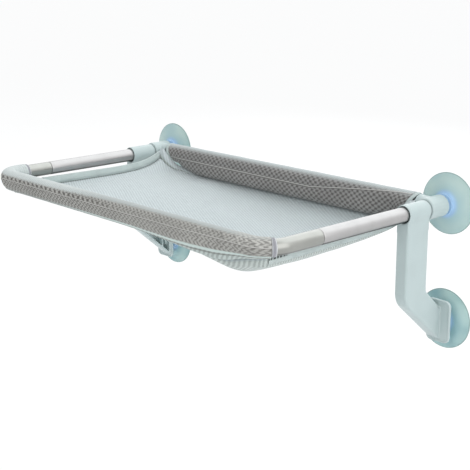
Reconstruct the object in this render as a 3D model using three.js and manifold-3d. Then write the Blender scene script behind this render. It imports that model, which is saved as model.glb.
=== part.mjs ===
// A window hammock for a pet: a tube frame with a sewn mesh bed, held on the glass by four suction cups.
// Millimetres. X runs along the window, Y runs into the glass, Z is up. The origin lies on the glass,
// midway between the two upper cups, at the height of the rails. "Reach" is a distance from the glass.
import * as THREE from "three";
import { mergeVertices } from "three/addons/utils/BufferGeometryUtils.js";
import Module from "manifold-3d";

const wasm = await Module();
wasm.setup();

// Fits shared by all pieces
const FIT = 0.3; // gap between pieces that touch
const RUNNING_GAP = 1; // between the swivelling bracket and its neighbour
const OVERRUN = 2; // how far a cut runs past the face it opens

// Rails
const RAIL_SPAN = 540; // between the axes of the two side rails
const REACH = 322; // from the glass to the front rail's axis
const TUBE_RADIUS = 9.5;
const TUBE_WALL = 1;
const BEND_RADIUS = 28; // of the front rail's axis, at its two corners
const FRONT_LEG = 52; // straight end of the front rail, from its bend to the seam
const SEAM_GAP = 0.5;
const SPIGOT_LENGTH = 64;
const SPIGOT_WALL = 2.4;

// Suction cups
const CUP_RADIUS = 40;
const CUP_LIP_WIDTH = 5;
const CUP_RIM_THICKNESS = 1.4;
const CUP_HOLLOW = 4;
const CUP_HEIGHT = 12; // lip to the back of the hub
const HUB_RADIUS = 14;
const HUB_LENGTH = 3.5;
const HUB_ROUNDING = 1.2;
const NECK_RADIUS = 9.5;
const NECK_SHOW = 4; // neck that shows between the hub and what holds it
const NECK_SEAT = 2.5; // neck inside what holds it
const STUD_RADIUS = 3;
const STUD_LENGTH = 15;
const STUD_IN_CUP = 10;
const STUD_CHAMFER = 0.6;

// Tee connectors, which join side rail, rear rail and upper cup
const TEE_WALL = 4.2;
const TEE_STOP = 8; // solid end wall between the neck and the rail
const TEE_LENGTH = 33;
const TEE_EDGE = 1.2;
const BRANCH_WALL = 2.2;
const BRANCH_LENGTH = 9; // past the barrel
const BRANCH_SHOULDER = 1; // from the barrel's end to the branch
const BRANCH_RING = 1;
const BRANCH_RING_WIDTH = 3;
const RAIL_SEPARATION = 2; // wall between the ends of the two rails

// Locking screws under the tees
const SCREW_RADIUS = 1.5;
const SCREW_HEAD_RADIUS = 2.8;
const SCREW_HEAD_HEIGHT = 2;
const SCREW_REACH = 3; // past the tube's wall
const BOSS_WALL = 1.3;
const BOSS_STAND = 1.4; // how far a screw boss stands out from its round wall
const DRIVE_RADIUS = 1.3;
const DRIVE_DEPTH = 1.2;

// Brackets, which swivel on the side rails and carry the lower cups
const BRACKET_DROP = 153; // rail axis to the lower cup's axis
const COLLAR_WALL = 2.3;
const COLLAR_LENGTH = 42;
const COLLAR_EDGE = 0.8;
const MOUTH_DEPTH = 3; // shallow counterbore at both ends of the collar
const MOUTH_WALL = 1.2;
const LEG_WIDTH = 18;
const LEG_EDGE = 2.4;
const SHOULDER_ROUNDING = 12; // between collar and leg
const OUTER_BEND = 28;
const INNER_BEND = 9;
const OUTER_SLOPE = 40.5; // degrees below the horizontal
const INNER_SLOPE = 43;
const LOWER_CUP_OFFSET = 3; // outward from the rail's axis
const PLATE_WIDTH = 36;
const PLATE_HEIGHT = 57;
const PLATE_OFFSET = 6.5; // outward from the rail's axis
const PLATE_RISE = 2; // above the lower cup's axis
const PLATE_CORNER = 8;
const PLATE_THICKNESS = 4.5;
const PLATE_EDGE = 1;
const RIM_WIDTH = 2.2;
const RIM_HEIGHT = 1.2;
const FOOT_MARGIN = 5; // plate left below the foot
const FOOT_TOP_MARGIN = 9; // plate left above the foot
const SKIN = 3; // walls round the ribbed hollow
const RIB_THICKNESS = 1.8;
const RIB_INSET = 1; // ribs stay below the open face

// Sewn cover
const SLEEVE_THICKNESS = 1;
const SLEEVE_NEAR_END = 25; // past the start of the right bend, along the rail
const SLEEVE_FAR_END = 54; // past the start of the left bend
const FRONT_TAIL = 5; // how much deeper the front sleeve hangs than a round one, at its left end
const FRONT_TAIL_GAIN = 2.2; // and how much deeper still at its right end
const FRONT_PULL = 7.1; // extra depth where the bed pulls on it
const FRONT_PULL_PLACE = 178; // right of the middle
const FRONT_PULL_WIDTH = 85;
const NEAR_TAIL_FADE = 75; // lengths over which the tail runs out towards an end
const FAR_TAIL_FADE = 40;
const REAR_TAIL_FADE_LENGTH = 80;
const FRONT_INSET = 3.5; // bed edge inside the front rail's axis
const REAR_SLEEVE_GAP = 3.3; // the rear sleeve is this much looser than the front one
const REAR_TAIL_DEPTH = 13;
const REAR_END_SLANT_LENGTH = 9; // the rear sleeve's ends are cut on the slant
const FRONT_HEM_WIDTH = 4.5;
const REAR_HEM_WIDTH = 6;
const HEM_STEP = 0.2; // hem bands stand this much proud of the sleeve
const BED_THICKNESS = 1.4;
const BED_SAG = 31.5;
const BED_NEAR_CORNER = 20; // bed's front corners, past the starts of the bends
const BED_FAR_CORNER = 49;
const BED_REAR_MARGIN = 20; // bed's rear corners, inside the side rails' axes
const REAR_CORNER_GAP = 1; // extra room in front of the rear hems
const BED_WALL = 11.5; // upright wall along the bed's edges
const BED_WALL_LEAN = 1.5;
const BED_FOLD = 3; // height of the drawn folds that fan out from the corners
const BINDING_WIDTH = 10;
const BINDING_WALL = 0.8;
const BINDING_EDGE = 1;

// Shares and angles, chosen by hand
const MERGE_SHARE = 0.001; // points nearer than this share of a fit are one point
const CUP_DISH_SHARE = 1.6; // how late the cup's back rises to the hub
const TAIL_LEAN = -92; // degrees from the outward direction to the front tail
const REAR_TAIL_LEAN = -66;
const REAR_SEAM_LEAN = -84; // where the bed is sewn on the rear sleeve
const REAR_CORNER_LEAN = 30; // and its corners
const REAR_SLANT_LEAN = 80; // highest reach of the slanted ends
const TAIL_SHARPNESS_SHARE = 3;
const REAR_TAIL_SHARPNESS_SHARE = 5;
const SAG_ACROSS_SHARE = 0.69;
const FAR_SAG_SHARE = 1.9; // the bed is taut along the front of its left part
const NEAR_SAG_SHARE = 0.72; // full along the front of its right part
const REAR_SAG_SHARE = 0.5; // and full along its rear
const TAUT_END_SHARE = 0.39; // where it starts to change, across
const FULL_START_SHARE = 0.83; // and where it is full
const REAR_SAG_START_SHARE = 0.4; // the same, from the front to the rear
const REAR_SAG_END_SHARE = 0.8;
const SAG_FORWARD_SHARE = 0.67; // the bed hangs deepest nearer the front than the rear
const SAG_SKEW_SHARE = 0.39; // and right of its middle
const WALL_SPREAD_SHARE = 6; // how soon the upright wall fades away from the sides
const EDGE_RISE_SHARE = 4; // how late the side edges rise to the rear sleeve
const CORNER_RISE_SHARE = 0.82; // where the rear edge starts to rise to its corners
const WALL_START_SHARE = 0.012; // the upright wall is full from here, along the bed
const WALL_END_SHARE = 0.97; // to here
const WALL_LEAST_SHARE = 0.1;

// Numbers of facets and folds
const ROUND = 20;
const CUP_SIDES = 32;
const SMALL_ROUND = 8;
const DRIVE_SIDES = 6;
const WIDTH_EDGE_STEPS = 3;
const REACH_EDGE_STEPS = 2;
const BEND_STEPS = 6;
const CUP_STEPS = 4;
const SLEEVE_SIDES = 16;
const SLEEVE_STEPS = 12;
const FOLDS = 6; // per half turn round a corner
const BED_COLUMNS = 24;
const BED_ROWS = 16;

// Places that several pieces share
const railHalfSpan = RAIL_SPAN / 2;
const backReach = CUP_HEIGHT + NECK_SHOW; // window ends of the tees and backs of the bracket plates
const railEndReach = backReach + TEE_STOP;
const teeEndReach = backReach + TEE_LENGTH;
const collarReach = teeEndReach + RUNNING_GAP;
const legReach = collarReach + COLLAR_LENGTH;
const bendStartReach = REACH - BEND_RADIUS;
const seamReach = bendStartReach - FRONT_LEG;
const straightHalf = railHalfSpan - BEND_RADIUS;
const quarterBend = (BEND_RADIUS * Math.PI) / 2;
const boreRadius = TUBE_RADIUS + FIT;
const teeRadius = boreRadius + TEE_WALL;
const branchRadius = boreRadius + BRANCH_WALL;
const rearRailReach = backReach + BRANCH_SHOULDER + branchRadius;
const rearRailHalf = railHalfSpan - boreRadius - RAIL_SEPARATION - FIT;
const branchEnd = railHalfSpan - teeRadius - BRANCH_LENGTH;
const rearSleeveHalf = branchEnd - REAR_HEM_WIDTH - 2 * FIT;
const bedRearHalf = railHalfSpan - BED_REAR_MARGIN;
const collarRadius = boreRadius + COLLAR_WALL;
const sleeveRadius = boreRadius + SLEEVE_THICKNESS;

const toRadians = THREE.MathUtils.degToRad;

/** A three.js geometry as a solid that can be joined and cut. */
function solid(geometry) {
  const bare = geometry.clone();
  bare.deleteAttribute("normal");
  bare.deleteAttribute("uv");
  const merged = mergeVertices(bare, FIT * MERGE_SHARE);
  return new wasm.Manifold(
    new wasm.Mesh({
      numProp: 3,
      vertProperties: merged.attributes.position.array,
      triVerts: new Uint32Array(merged.index.array),
    }),
  );
}

/** A solid back as a three.js geometry. */
function geometryOf(shape) {
  const mesh = shape.getMesh();
  return new THREE.BufferGeometry()
    .setAttribute("position", new THREE.BufferAttribute(new Float32Array(mesh.vertProperties), mesh.numProp))
    .setIndex(new THREE.BufferAttribute(new Uint32Array(mesh.triVerts), 1));
}

const join = (...shapes) => shapes.reduce((a, b) => a.add(b));
const cut = (shape, ...tools) => tools.reduce((a, b) => a.subtract(b), shape);

/** A round bar of a given radius between two points, with flat ends. */
function bar(radius, from, to, sides = ROUND) {
  const along = new THREE.Vector3().subVectors(to, from);
  const turn = new THREE.Quaternion().setFromUnitVectors(new THREE.Vector3(0, 1, 0), along.clone().normalize());
  const middle = new THREE.Vector3().addVectors(from, to).multiplyScalar(0.5);
  const geometry = new THREE.CylinderGeometry(radius, radius, along.length(), sides);
  return solid(geometry.applyMatrix4(new THREE.Matrix4().compose(middle, turn, new THREE.Vector3(1, 1, 1))));
}

/** A body of revolution about the Y axis from [radius, reach] points, which run from the glass outward. */
function revolved(points, sides = ROUND) {
  const profile = points.map(([radius, reach]) => new THREE.Vector2(radius, -reach)).reverse();
  return new THREE.LatheGeometry(profile, sides);
}

const at = (x, reach, z) => new THREE.Vector3(x, -reach, z);

/** Corner points, each [a, b, radius], as an outline whose corners are round. */
function roundedOutline(corners, steps = BEND_STEPS) {
  const points = [];
  corners.forEach(([a, b, radius], i) => {
    const corner = new THREE.Vector2(a, b);
    const before = corners.at(i - 1);
    const after = corners[(i + 1) % corners.length];
    const back = new THREE.Vector2(before[0], before[1]).sub(corner).normalize();
    const ahead = new THREE.Vector2(after[0], after[1]).sub(corner).normalize();
    if (!radius) {
      points.push(corner);
      return;
    }
    const half = Math.acos(back.dot(ahead)) / 2;
    const tangent = radius / Math.tan(half);
    const centre = back.clone().add(ahead).normalize().multiplyScalar(radius / Math.sin(half)).add(corner);
    const turn = Math.sign(ahead.cross(back)) * (Math.PI - 2 * half);
    const start = back.multiplyScalar(tangent).add(corner).sub(centre);
    for (let k = 0; k <= steps; k++) {
      const step = (turn * k) / steps;
      points.push(start.clone().rotateAround(new THREE.Vector2(), step).add(centre));
    }
  });
  return new THREE.Shape(points);
}

/** A circle outline, with a round hole in it where an inner radius is given. */
function ring(outer, inner = 0, sides = ROUND) {
  const circle = (radius) =>
    Array.from({ length: sides }, (_, k) => {
      const angle = (2 * Math.PI * k) / sides;
      return new THREE.Vector2(radius * Math.cos(angle), radius * Math.sin(angle));
    });
  const shape = new THREE.Shape(circle(outer));
  if (inner) shape.holes.push(new THREE.Path(circle(inner)));
  return shape;
}

/** A path through stations, each a place with its direction: one extrusion step joins each to the next. */
class StationPath extends THREE.Curve {
  constructor(stations) {
    super();
    this.stations = stations;
  }
  station(share) {
    return this.stations[Math.round(share * (this.stations.length - 1))];
  }
  getPointAt(share, target = new THREE.Vector3()) {
    return target.copy(this.station(share).point);
  }
  getTangentAt(share, target = new THREE.Vector3()) {
    return target.copy(this.station(share).tangent);
  }
}

/** A section swept through stations. The section's x points down and its y points outward. */
function sweep(section, stations) {
  return new THREE.ExtrudeGeometry(section, {
    steps: stations.length - 1,
    extrudePath: new StationPath(stations),
    bevelEnabled: false,
  });
}

/** Where the front rail's axis lies, a distance along it from its middle, positive to the right. */
function frontRailStation(distance) {
  const side = Math.sign(distance) || 1;
  const past = Math.abs(distance) - straightHalf;
  const angle = THREE.MathUtils.clamp(past / BEND_RADIUS, 0, Math.PI / 2);
  const x = Math.min(Math.abs(distance), straightHalf) + BEND_RADIUS * Math.sin(angle);
  const reach = bendStartReach + BEND_RADIUS * Math.cos(angle) - Math.max(past - quarterBend, 0);
  return {
    point: at(side * x, reach, 0),
    tangent: new THREE.Vector3(-Math.cos(angle), -side * Math.sin(angle), 0),
    outward: new THREE.Vector3(side * Math.sin(angle), -Math.cos(angle), 0),
  };
}

/** Distances along the front rail from right to left, with extra stops round the bends. */
function frontRailDistances(right, left, straightSteps) {
  const stops = [right, left];
  for (let k = 0; k <= BEND_STEPS; k++) {
    const bend = straightHalf + (quarterBend * k) / BEND_STEPS;
    stops.push(bend, -bend);
  }
  for (let k = 1; k < straightSteps; k++) stops.push(straightHalf * ((2 * k) / straightSteps - 1));
  const inside = stops.filter((stop) => stop <= right && stop >= left).sort((a, b) => b - a);
  return inside.filter((stop, i) => i === 0 || inside[i - 1] - stop > FIT);
}

/** A tube of the front rail's path between two distances along it. */
function alongFrontRail(section, right, left) {
  return sweep(section, frontRailDistances(right, left, 1).map(frontRailStation));
}

/** A closed body through rings of points, all of one count, with flat ends. */
function loft(rings) {
  const count = rings[0].length;
  const positions = rings.flat().flatMap((p) => [p.x, p.y, p.z]);
  const index = [];
  for (let i = 0; i + 1 < rings.length; i++)
    for (let k = 0; k < count; k++) {
      const next = (k + 1) % count;
      const [a, b] = [i * count + k, i * count + next];
      index.push(a, b, b + count, a, b + count, a + count);
    }
  const endTriangles = (ringPoints) => {
    const origin = ringPoints[0];
    const u = new THREE.Vector3().subVectors(ringPoints[1], origin).normalize();
    const normal = new THREE.Vector3();
    ringPoints.forEach((p, k) => {
      const q = ringPoints[(k + 1) % count];
      normal.add(new THREE.Vector3().crossVectors(p.clone().sub(origin), q.clone().sub(origin)));
    });
    const v = new THREE.Vector3().crossVectors(normal.normalize(), u);
    const flat = ringPoints.map((p) => {
      const away = p.clone().sub(origin);
      return new THREE.Vector2(away.dot(u), away.dot(v));
    });
    return THREE.ShapeUtils.triangulateShape(flat, []);
  };
  const last = (rings.length - 1) * count;
  for (const [a, b, c] of endTriangles(rings[0])) index.push(a, c, b);
  for (const [a, b, c] of endTriangles(rings.at(-1))) index.push(last + a, last + b, last + c);
  return new THREE.BufferGeometry()
    .setAttribute("position", new THREE.Float32BufferAttribute(positions, 3))
    .setIndex(index);
}

/** The bent tube that runs round the front of the bed. */
function frontRail() {
  const end = straightHalf + quarterBend + FRONT_LEG - SEAM_GAP / 2;
  return alongFrontRail(ring(TUBE_RADIUS, TUBE_RADIUS - TUBE_WALL), end, -end);
}

/** A straight tube between two points at rail height. */
function straightTube(from, to, outer, inner) {
  const tangent = new THREE.Vector3().subVectors(to, from).normalize();
  return sweep(ring(outer, inner), [
    { point: from, tangent },
    { point: to, tangent },
  ]);
}

/** The place that a screw, its boss and its hole share: under a rail's axis, pointing up. */
function screwPlace(x, reach, wallRadius) {
  const face = -(wallRadius + BOSS_STAND);
  return {
    level: (z) => at(x, reach, z),
    face,
    seat: face + SCREW_HEAD_HEIGHT,
    tip: -(TUBE_RADIUS - TUBE_WALL) + SCREW_REACH,
    top: -boreRadius,
  };
}

const teeScrew = screwPlace(0, teeEndReach - TEE_EDGE - SCREW_HEAD_RADIUS - BOSS_WALL, teeRadius);
const rearScrewX = (branchEnd + railHalfSpan - teeRadius) / 2;
const rearScrew = screwPlace(rearScrewX - railHalfSpan, rearRailReach, branchRadius);

const screwBoss = (place) =>
  bar(SCREW_HEAD_RADIUS + BOSS_WALL, place.level(place.face), place.level(place.top));

const screwHole = (place) =>
  join(
    bar(SCREW_HEAD_RADIUS + FIT, place.level(place.face - OVERRUN), place.level(place.seat)),
    bar(SCREW_RADIUS + FIT, place.level(place.face), place.level(place.tip), SMALL_ROUND),
  );

/** A pan-head screw with a round drive recess. */
function screw(place) {
  const headTop = place.seat - FIT;
  const headFace = headTop - SCREW_HEAD_HEIGHT;
  const head = bar(SCREW_HEAD_RADIUS, place.level(headFace), place.level(headTop));
  const shank = bar(
    SCREW_RADIUS,
    place.level(headTop - (SCREW_HEAD_HEIGHT - DRIVE_DEPTH) / 2),
    place.level(place.tip - FIT),
    SMALL_ROUND,
  );
  const drive = bar(
    DRIVE_RADIUS,
    place.level(headFace - OVERRUN),
    place.level(headFace + DRIVE_DEPTH),
    DRIVE_SIDES,
  );
  return geometryOf(cut(join(head, shank), drive));
}

/** A straight rail from the tee to the seam, drilled for its locking screw. Its axis is at x = 0. */
function sideRail() {
  const tube = straightTube(
    at(0, railEndReach + FIT, 0),
    at(0, seamReach - SEAM_GAP / 2, 0),
    TUBE_RADIUS,
    TUBE_RADIUS - TUBE_WALL,
  );
  return geometryOf(cut(solid(tube), screwHole(teeScrew)));
}

/** The straight rail between the two tees, drilled for both locking screws. */
function rearRail() {
  const tube = straightTube(
    at(rearRailHalf, rearRailReach, 0),
    at(-rearRailHalf, rearRailReach, 0),
    TUBE_RADIUS,
    TUBE_RADIUS - TUBE_WALL,
  );
  const right = screwHole(screwPlace(rearScrewX, rearRailReach, branchRadius));
  const left = screwHole(screwPlace(-rearScrewX, rearRailReach, branchRadius));
  return geometryOf(cut(solid(tube), right, left));
}

/** The plug inside the seam of a side rail. */
function spigot() {
  const outer = TUBE_RADIUS - TUBE_WALL - FIT;
  const half = SPIGOT_LENGTH / 2;
  return straightTube(at(0, seamReach - half, 0), at(0, seamReach + half, 0), outer, outer - SPIGOT_WALL);
}

/** The moulded connector: a barrel on the side rail, a branch for the rear rail and a seat for the cup. */
function tee() {
  const barrel = solid(
    revolved([
      [0, backReach],
      [teeRadius - TEE_EDGE, backReach],
      [teeRadius, backReach + TEE_EDGE],
      [teeRadius, teeEndReach - TEE_EDGE],
      [teeRadius - TEE_EDGE, teeEndReach],
      [0, teeEndReach],
    ]),
  );
  const inner = branchEnd - railHalfSpan;
  const branch = bar(branchRadius, at(inner, rearRailReach, 0), at(0, rearRailReach, 0));
  const mouth = bar(
    branchRadius + BRANCH_RING,
    at(inner, rearRailReach, 0),
    at(inner + BRANCH_RING_WIDTH, rearRailReach, 0),
  );
  const railBore = bar(boreRadius, at(0, railEndReach, 0), at(0, teeEndReach + OVERRUN, 0));
  const branchBore = bar(
    boreRadius,
    at(inner - OVERRUN, rearRailReach, 0),
    at(rearRailHalf - railHalfSpan + FIT, rearRailReach, 0),
  );
  const neckSeat = bar(NECK_RADIUS + FIT, at(0, backReach - OVERRUN, 0), at(0, backReach + NECK_SEAT + FIT, 0));
  const studHole = bar(STUD_RADIUS + FIT, at(0, backReach, 0), at(0, railEndReach + OVERRUN, 0), SMALL_ROUND);
  const body = join(barrel, branch, mouth, screwBoss(teeScrew), screwBoss(rearScrew));
  const screwHoles = join(screwHole(teeScrew), screwHole(rearScrew));
  return geometryOf(cut(body, railBore, branchBore, neckSeat, studHole, screwHoles));
}

const plateFrontReach = backReach + PLATE_THICKNESS;
const plateCentreZ = -BRACKET_DROP + PLATE_RISE;
const footBottomZ = plateCentreZ - PLATE_HEIGHT / 2 + FOOT_MARGIN;
const footTopZ = plateCentreZ + PLATE_HEIGHT / 2 - FOOT_TOP_MARGIN;

/** The bracket's side outline as [reach, z] corners, drawn in from every wall by an inset. */
function bracketOutline(inset, topZ, footReach) {
  const outer = toRadians(OUTER_SLOPE);
  const inner = toRadians(INNER_SLOPE);
  const outerZ = (reach) => footBottomZ + (reach - plateFrontReach) * Math.tan(outer) + inset / Math.cos(outer);
  const innerZ = (reach) => footTopZ + (reach - plateFrontReach) * Math.tan(inner) - inset / Math.cos(inner);
  const roomSide = legReach - inset;
  const glassSide = collarReach + inset;
  return [
    [roomSide, topZ, 0],
    [glassSide, topZ, 0],
    [glassSide, innerZ(glassSide), INNER_BEND + inset],
    [footReach, innerZ(footReach), 0],
    [footReach, outerZ(footReach), 0],
    [roomSide, outerZ(roomSide), OUTER_BEND - inset],
  ];
}

/** An outline in reach and z, made solid across the width between two x values, with rounded edges. */
function acrossWidth(corners, fromX, toX, edge) {
  const geometry = new THREE.ExtrudeGeometry(roundedOutline(corners), {
    depth: toX - fromX - 2 * edge,
    bevelEnabled: edge > 0,
    bevelThickness: edge,
    bevelSize: edge,
    bevelOffset: -edge,
    bevelSegments: WIDTH_EDGE_STEPS,
  });
  // The outline's first axis becomes reach, its second z, and its depth runs back along x.
  const toFrame = new THREE.Matrix4().set(0, 0, -1, toX - edge, -1, 0, 0, 0, 0, 1, 0, 0, 0, 0, 0, 1);
  return solid(geometry.applyMatrix4(toFrame));
}

/** An outline in x and z, made solid between two reaches, with rounded edges. */
function alongReach(outline, fromReach, toReach, edge) {
  const geometry = new THREE.ExtrudeGeometry(outline, {
    depth: toReach - fromReach - 2 * edge,
    bevelEnabled: edge > 0,
    bevelThickness: edge,
    bevelSize: edge,
    bevelOffset: -edge,
    bevelSegments: REACH_EDGE_STEPS,
  });
  const toFrame = new THREE.Matrix4().set(1, 0, 0, 0, 0, 0, -1, -(fromReach + edge), 0, 1, 0, 0, 0, 0, 0, 1);
  return solid(geometry.applyMatrix4(toFrame));
}

/** The collar and the top of the leg as one outline: a circle that runs into the leg's sides. */
function shoulderOutline(bottomZ) {
  const half = LEG_WIDTH / 2;
  const reach = collarRadius + SHOULDER_ROUNDING;
  const sine = (half + SHOULDER_ROUNDING) / reach;
  const blendAngle = Math.asin(sine);
  const blendZ = -reach * Math.cos(blendAngle);
  const points = [];
  const sweepAngle = 2 * (Math.PI - blendAngle);
  for (let k = 0; k <= ROUND; k++) {
    const angle = -Math.PI / 2 + blendAngle + (sweepAngle * k) / ROUND;
    points.push(new THREE.Vector2(collarRadius * Math.cos(angle), collarRadius * Math.sin(angle)));
  }
  for (let k = 1; k <= BEND_STEPS; k++) {
    const angle = Math.PI / 2 - blendAngle - ((Math.PI / 2 - blendAngle) * k) / BEND_STEPS;
    points.push(
      new THREE.Vector2(
        -(half + SHOULDER_ROUNDING) + SHOULDER_ROUNDING * Math.cos(angle),
        blendZ + SHOULDER_ROUNDING * Math.sin(angle),
      ),
    );
  }
  points.push(new THREE.Vector2(-half, bottomZ), new THREE.Vector2(half, bottomZ));
  for (let k = BEND_STEPS; k >= 1; k--) {
    const angle = Math.PI / 2 - blendAngle - ((Math.PI / 2 - blendAngle) * k) / BEND_STEPS;
    points.push(
      new THREE.Vector2(
        half + SHOULDER_ROUNDING - SHOULDER_ROUNDING * Math.cos(angle),
        blendZ + SHOULDER_ROUNDING * Math.sin(angle),
      ),
    );
  }
  return new THREE.Shape(points);
}

/** Diagonal ribs across the bracket's hollow, as a zigzag down the leg and struts across the foot. */
function ribs(hollow, hollowFloorX) {
  const half = LEG_WIDTH / 2;
  const glassSide = collarReach + SKIN;
  const roomSide = legReach - SKIN;
  const top = -collarRadius - SKIN;
  const bottom = footTopZ;
  const width = roomSide - glassSide;
  const bays = Math.max(1, Math.round((top - bottom) / width));
  const strips = [];
  for (let k = 0; k < bays; k++) {
    const highZ = top + ((bottom - top) * k) / bays;
    const lowZ = top + ((bottom - top) * (k + 1)) / bays;
    strips.push(k % 2 ? [roomSide, highZ, glassSide, lowZ] : [glassSide, highZ, roomSide, lowZ]);
  }
  const footMiddle = (plateFrontReach + glassSide) / 2;
  strips.push([glassSide, bottom + SKIN, legReach, footBottomZ + (legReach - plateFrontReach) / 2]);
  strips.push([footMiddle, footTopZ + width, footMiddle, footBottomZ - width]);
  const walls = strips.map(([reachA, zA, reachB, zB]) => {
    const length = Math.hypot(reachB - reachA, zB - zA) + width;
    const box = new THREE.BoxGeometry(LEG_WIDTH, length, RIB_THICKNESS);
    const turn = new THREE.Quaternion().setFromUnitVectors(
      new THREE.Vector3(0, 1, 0),
      new THREE.Vector3(0, -(reachB - reachA), zB - zA).normalize(),
    );
    const centre = at(RIB_INSET + hollowFloorX - half, (reachA + reachB) / 2, (zA + zB) / 2);
    return solid(box.applyMatrix4(new THREE.Matrix4().compose(centre, turn, new THREE.Vector3(1, 1, 1))));
  });
  return join(...walls).intersect(hollow);
}

/** The moulded bracket: collar, leg, sloping foot, ribbed hollow on its inner side and rimmed cup plate. */
function bracket() {
  const half = LEG_WIDTH / 2;
  const legTopZ = -collarRadius;
  const arm = acrossWidth(bracketOutline(0, legTopZ, backReach + PLATE_EDGE), -half, half, LEG_EDGE);
  const shoulder = alongReach(shoulderOutline(legTopZ - SHOULDER_ROUNDING), collarReach, legReach, COLLAR_EDGE);
  const hollowOutline = bracketOutline(SKIN, legTopZ - SKIN, plateFrontReach + SKIN);
  const hollowShape = acrossWidth(hollowOutline, -half - OVERRUN, half - SKIN, 0);
  const hollowRibs = ribs(hollowShape, half - SKIN);
  const hollow = cut(hollowShape, hollowRibs);

  const plateCorners = (width, height, corner) =>
    [
      [1, 1],
      [-1, 1],
      [-1, -1],
      [1, -1],
    ].map(([x, z]) => [PLATE_OFFSET + (x * width) / 2, plateCentreZ + (z * height) / 2, corner]);
  const plate = alongReach(
    roundedOutline(plateCorners(PLATE_WIDTH, PLATE_HEIGHT, PLATE_CORNER)),
    backReach,
    plateFrontReach,
    PLATE_EDGE,
  );
  const recess = alongReach(
    roundedOutline(
      plateCorners(PLATE_WIDTH - 2 * RIM_WIDTH, PLATE_HEIGHT - 2 * RIM_WIDTH, PLATE_CORNER - RIM_WIDTH),
    ),
    plateFrontReach - RIM_HEIGHT,
    plateFrontReach + OVERRUN,
    0,
  );
  const studEnd = CUP_HEIGHT + NECK_SHOW + NECK_SEAT - STUD_IN_CUP + STUD_LENGTH + FIT;
  const boss = bar(
    half - LOWER_CUP_OFFSET,
    at(LOWER_CUP_OFFSET, backReach + PLATE_EDGE, -BRACKET_DROP),
    at(LOWER_CUP_OFFSET, studEnd + SKIN, -BRACKET_DROP),
  );
  const neckSeat = bar(
    NECK_RADIUS + FIT,
    at(LOWER_CUP_OFFSET, backReach - OVERRUN, -BRACKET_DROP),
    at(LOWER_CUP_OFFSET, backReach + NECK_SEAT + FIT, -BRACKET_DROP),
  );
  const studHole = bar(
    STUD_RADIUS + FIT,
    at(LOWER_CUP_OFFSET, backReach, -BRACKET_DROP),
    at(LOWER_CUP_OFFSET, studEnd, -BRACKET_DROP),
    SMALL_ROUND,
  );
  const bore = bar(boreRadius, at(0, collarReach - OVERRUN, 0), at(0, legReach + OVERRUN, 0));
  const mouthRadius = collarRadius - MOUTH_WALL;
  const glassMouth = bar(mouthRadius, at(0, collarReach - OVERRUN, 0), at(0, collarReach + MOUTH_DEPTH, 0));
  const roomMouth = bar(mouthRadius, at(0, legReach - MOUTH_DEPTH, 0), at(0, legReach + OVERRUN, 0));
  const shell = join(cut(join(arm, shoulder), hollow), cut(plate, recess), boss);
  return geometryOf(cut(shell, neckSeat, studHole, bore, glassMouth, roomMouth));
}

/** A suction cup: a shallow flexible dish with a flat lip, a hub and a neck that holds a stud. */
function suctionCup() {
  const hollowRadius = CUP_RADIUS - CUP_LIP_WIDTH;
  const neckReach = CUP_HEIGHT + NECK_SHOW + NECK_SEAT;
  const inside = [];
  const outside = [];
  for (let k = 0; k <= CUP_STEPS; k++) {
    const share = k / CUP_STEPS;
    inside.push([hollowRadius * share, CUP_HOLLOW * (1 + Math.cos(Math.PI * share)) / 2]);
    const hubFoot = CUP_HEIGHT - HUB_LENGTH;
    const back = CUP_RIM_THICKNESS + (hubFoot - CUP_RIM_THICKNESS) * share ** CUP_DISH_SHARE;
    outside.push([CUP_RADIUS + (HUB_RADIUS - CUP_RADIUS) * share, back]);
  }
  const profile = [
    ...inside,
    [CUP_RADIUS, 0],
    ...outside,
    [HUB_RADIUS, CUP_HEIGHT - HUB_ROUNDING],
    [HUB_RADIUS - HUB_ROUNDING, CUP_HEIGHT],
    [NECK_RADIUS, CUP_HEIGHT],
    [NECK_RADIUS, neckReach],
    [STUD_RADIUS + FIT, neckReach],
    [STUD_RADIUS + FIT, neckReach - STUD_IN_CUP - FIT],
    [0, neckReach - STUD_IN_CUP - FIT],
  ];
  return revolved(profile, CUP_SIDES);
}

/** The metal stud that screws a cup to what holds it. */
function stud() {
  const start = CUP_HEIGHT + NECK_SHOW + NECK_SEAT - STUD_IN_CUP;
  const end = start + STUD_LENGTH;
  return revolved(
    [
      [0, start],
      [STUD_RADIUS - STUD_CHAMFER, start],
      [STUD_RADIUS, start + STUD_CHAMFER],
      [STUD_RADIUS, end - STUD_CHAMFER],
      [STUD_RADIUS - STUD_CHAMFER, end],
      [0, end],
    ],
    SMALL_ROUND,
  );
}

/** Radius of a sleeve at an angle from the outward direction: round, with a tail towards one angle. */
function sleeveSection(angle, radius, tail, lean, sharpness) {
  return radius + tail * Math.max(0, Math.cos(angle - toRadians(lean))) ** sharpness;
}

/** How much of the front sleeve's tail hangs down, a distance along the front rail. */
function frontTail(distance) {
  const near = THREE.MathUtils.smoothstep(straightHalf + SLEEVE_NEAR_END - distance, 0, NEAR_TAIL_FADE);
  const far = THREE.MathUtils.smoothstep(straightHalf + SLEEVE_FAR_END + distance, 0, FAR_TAIL_FADE);
  const pull = FRONT_PULL * Math.exp(-(((distance - FRONT_PULL_PLACE) / FRONT_PULL_WIDTH) ** 2));
  const even = FRONT_TAIL + (FRONT_TAIL_GAIN * (distance + straightHalf)) / (2 * straightHalf);
  return (even + pull) * near * far;
}

/** The front sleeve's radius at an angle, a distance along the front rail. */
const frontRadius = (distance) => (angle) =>
  sleeveSection(angle, sleeveRadius, frontTail(distance), TAIL_LEAN, TAIL_SHARPNESS_SHARE);

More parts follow.
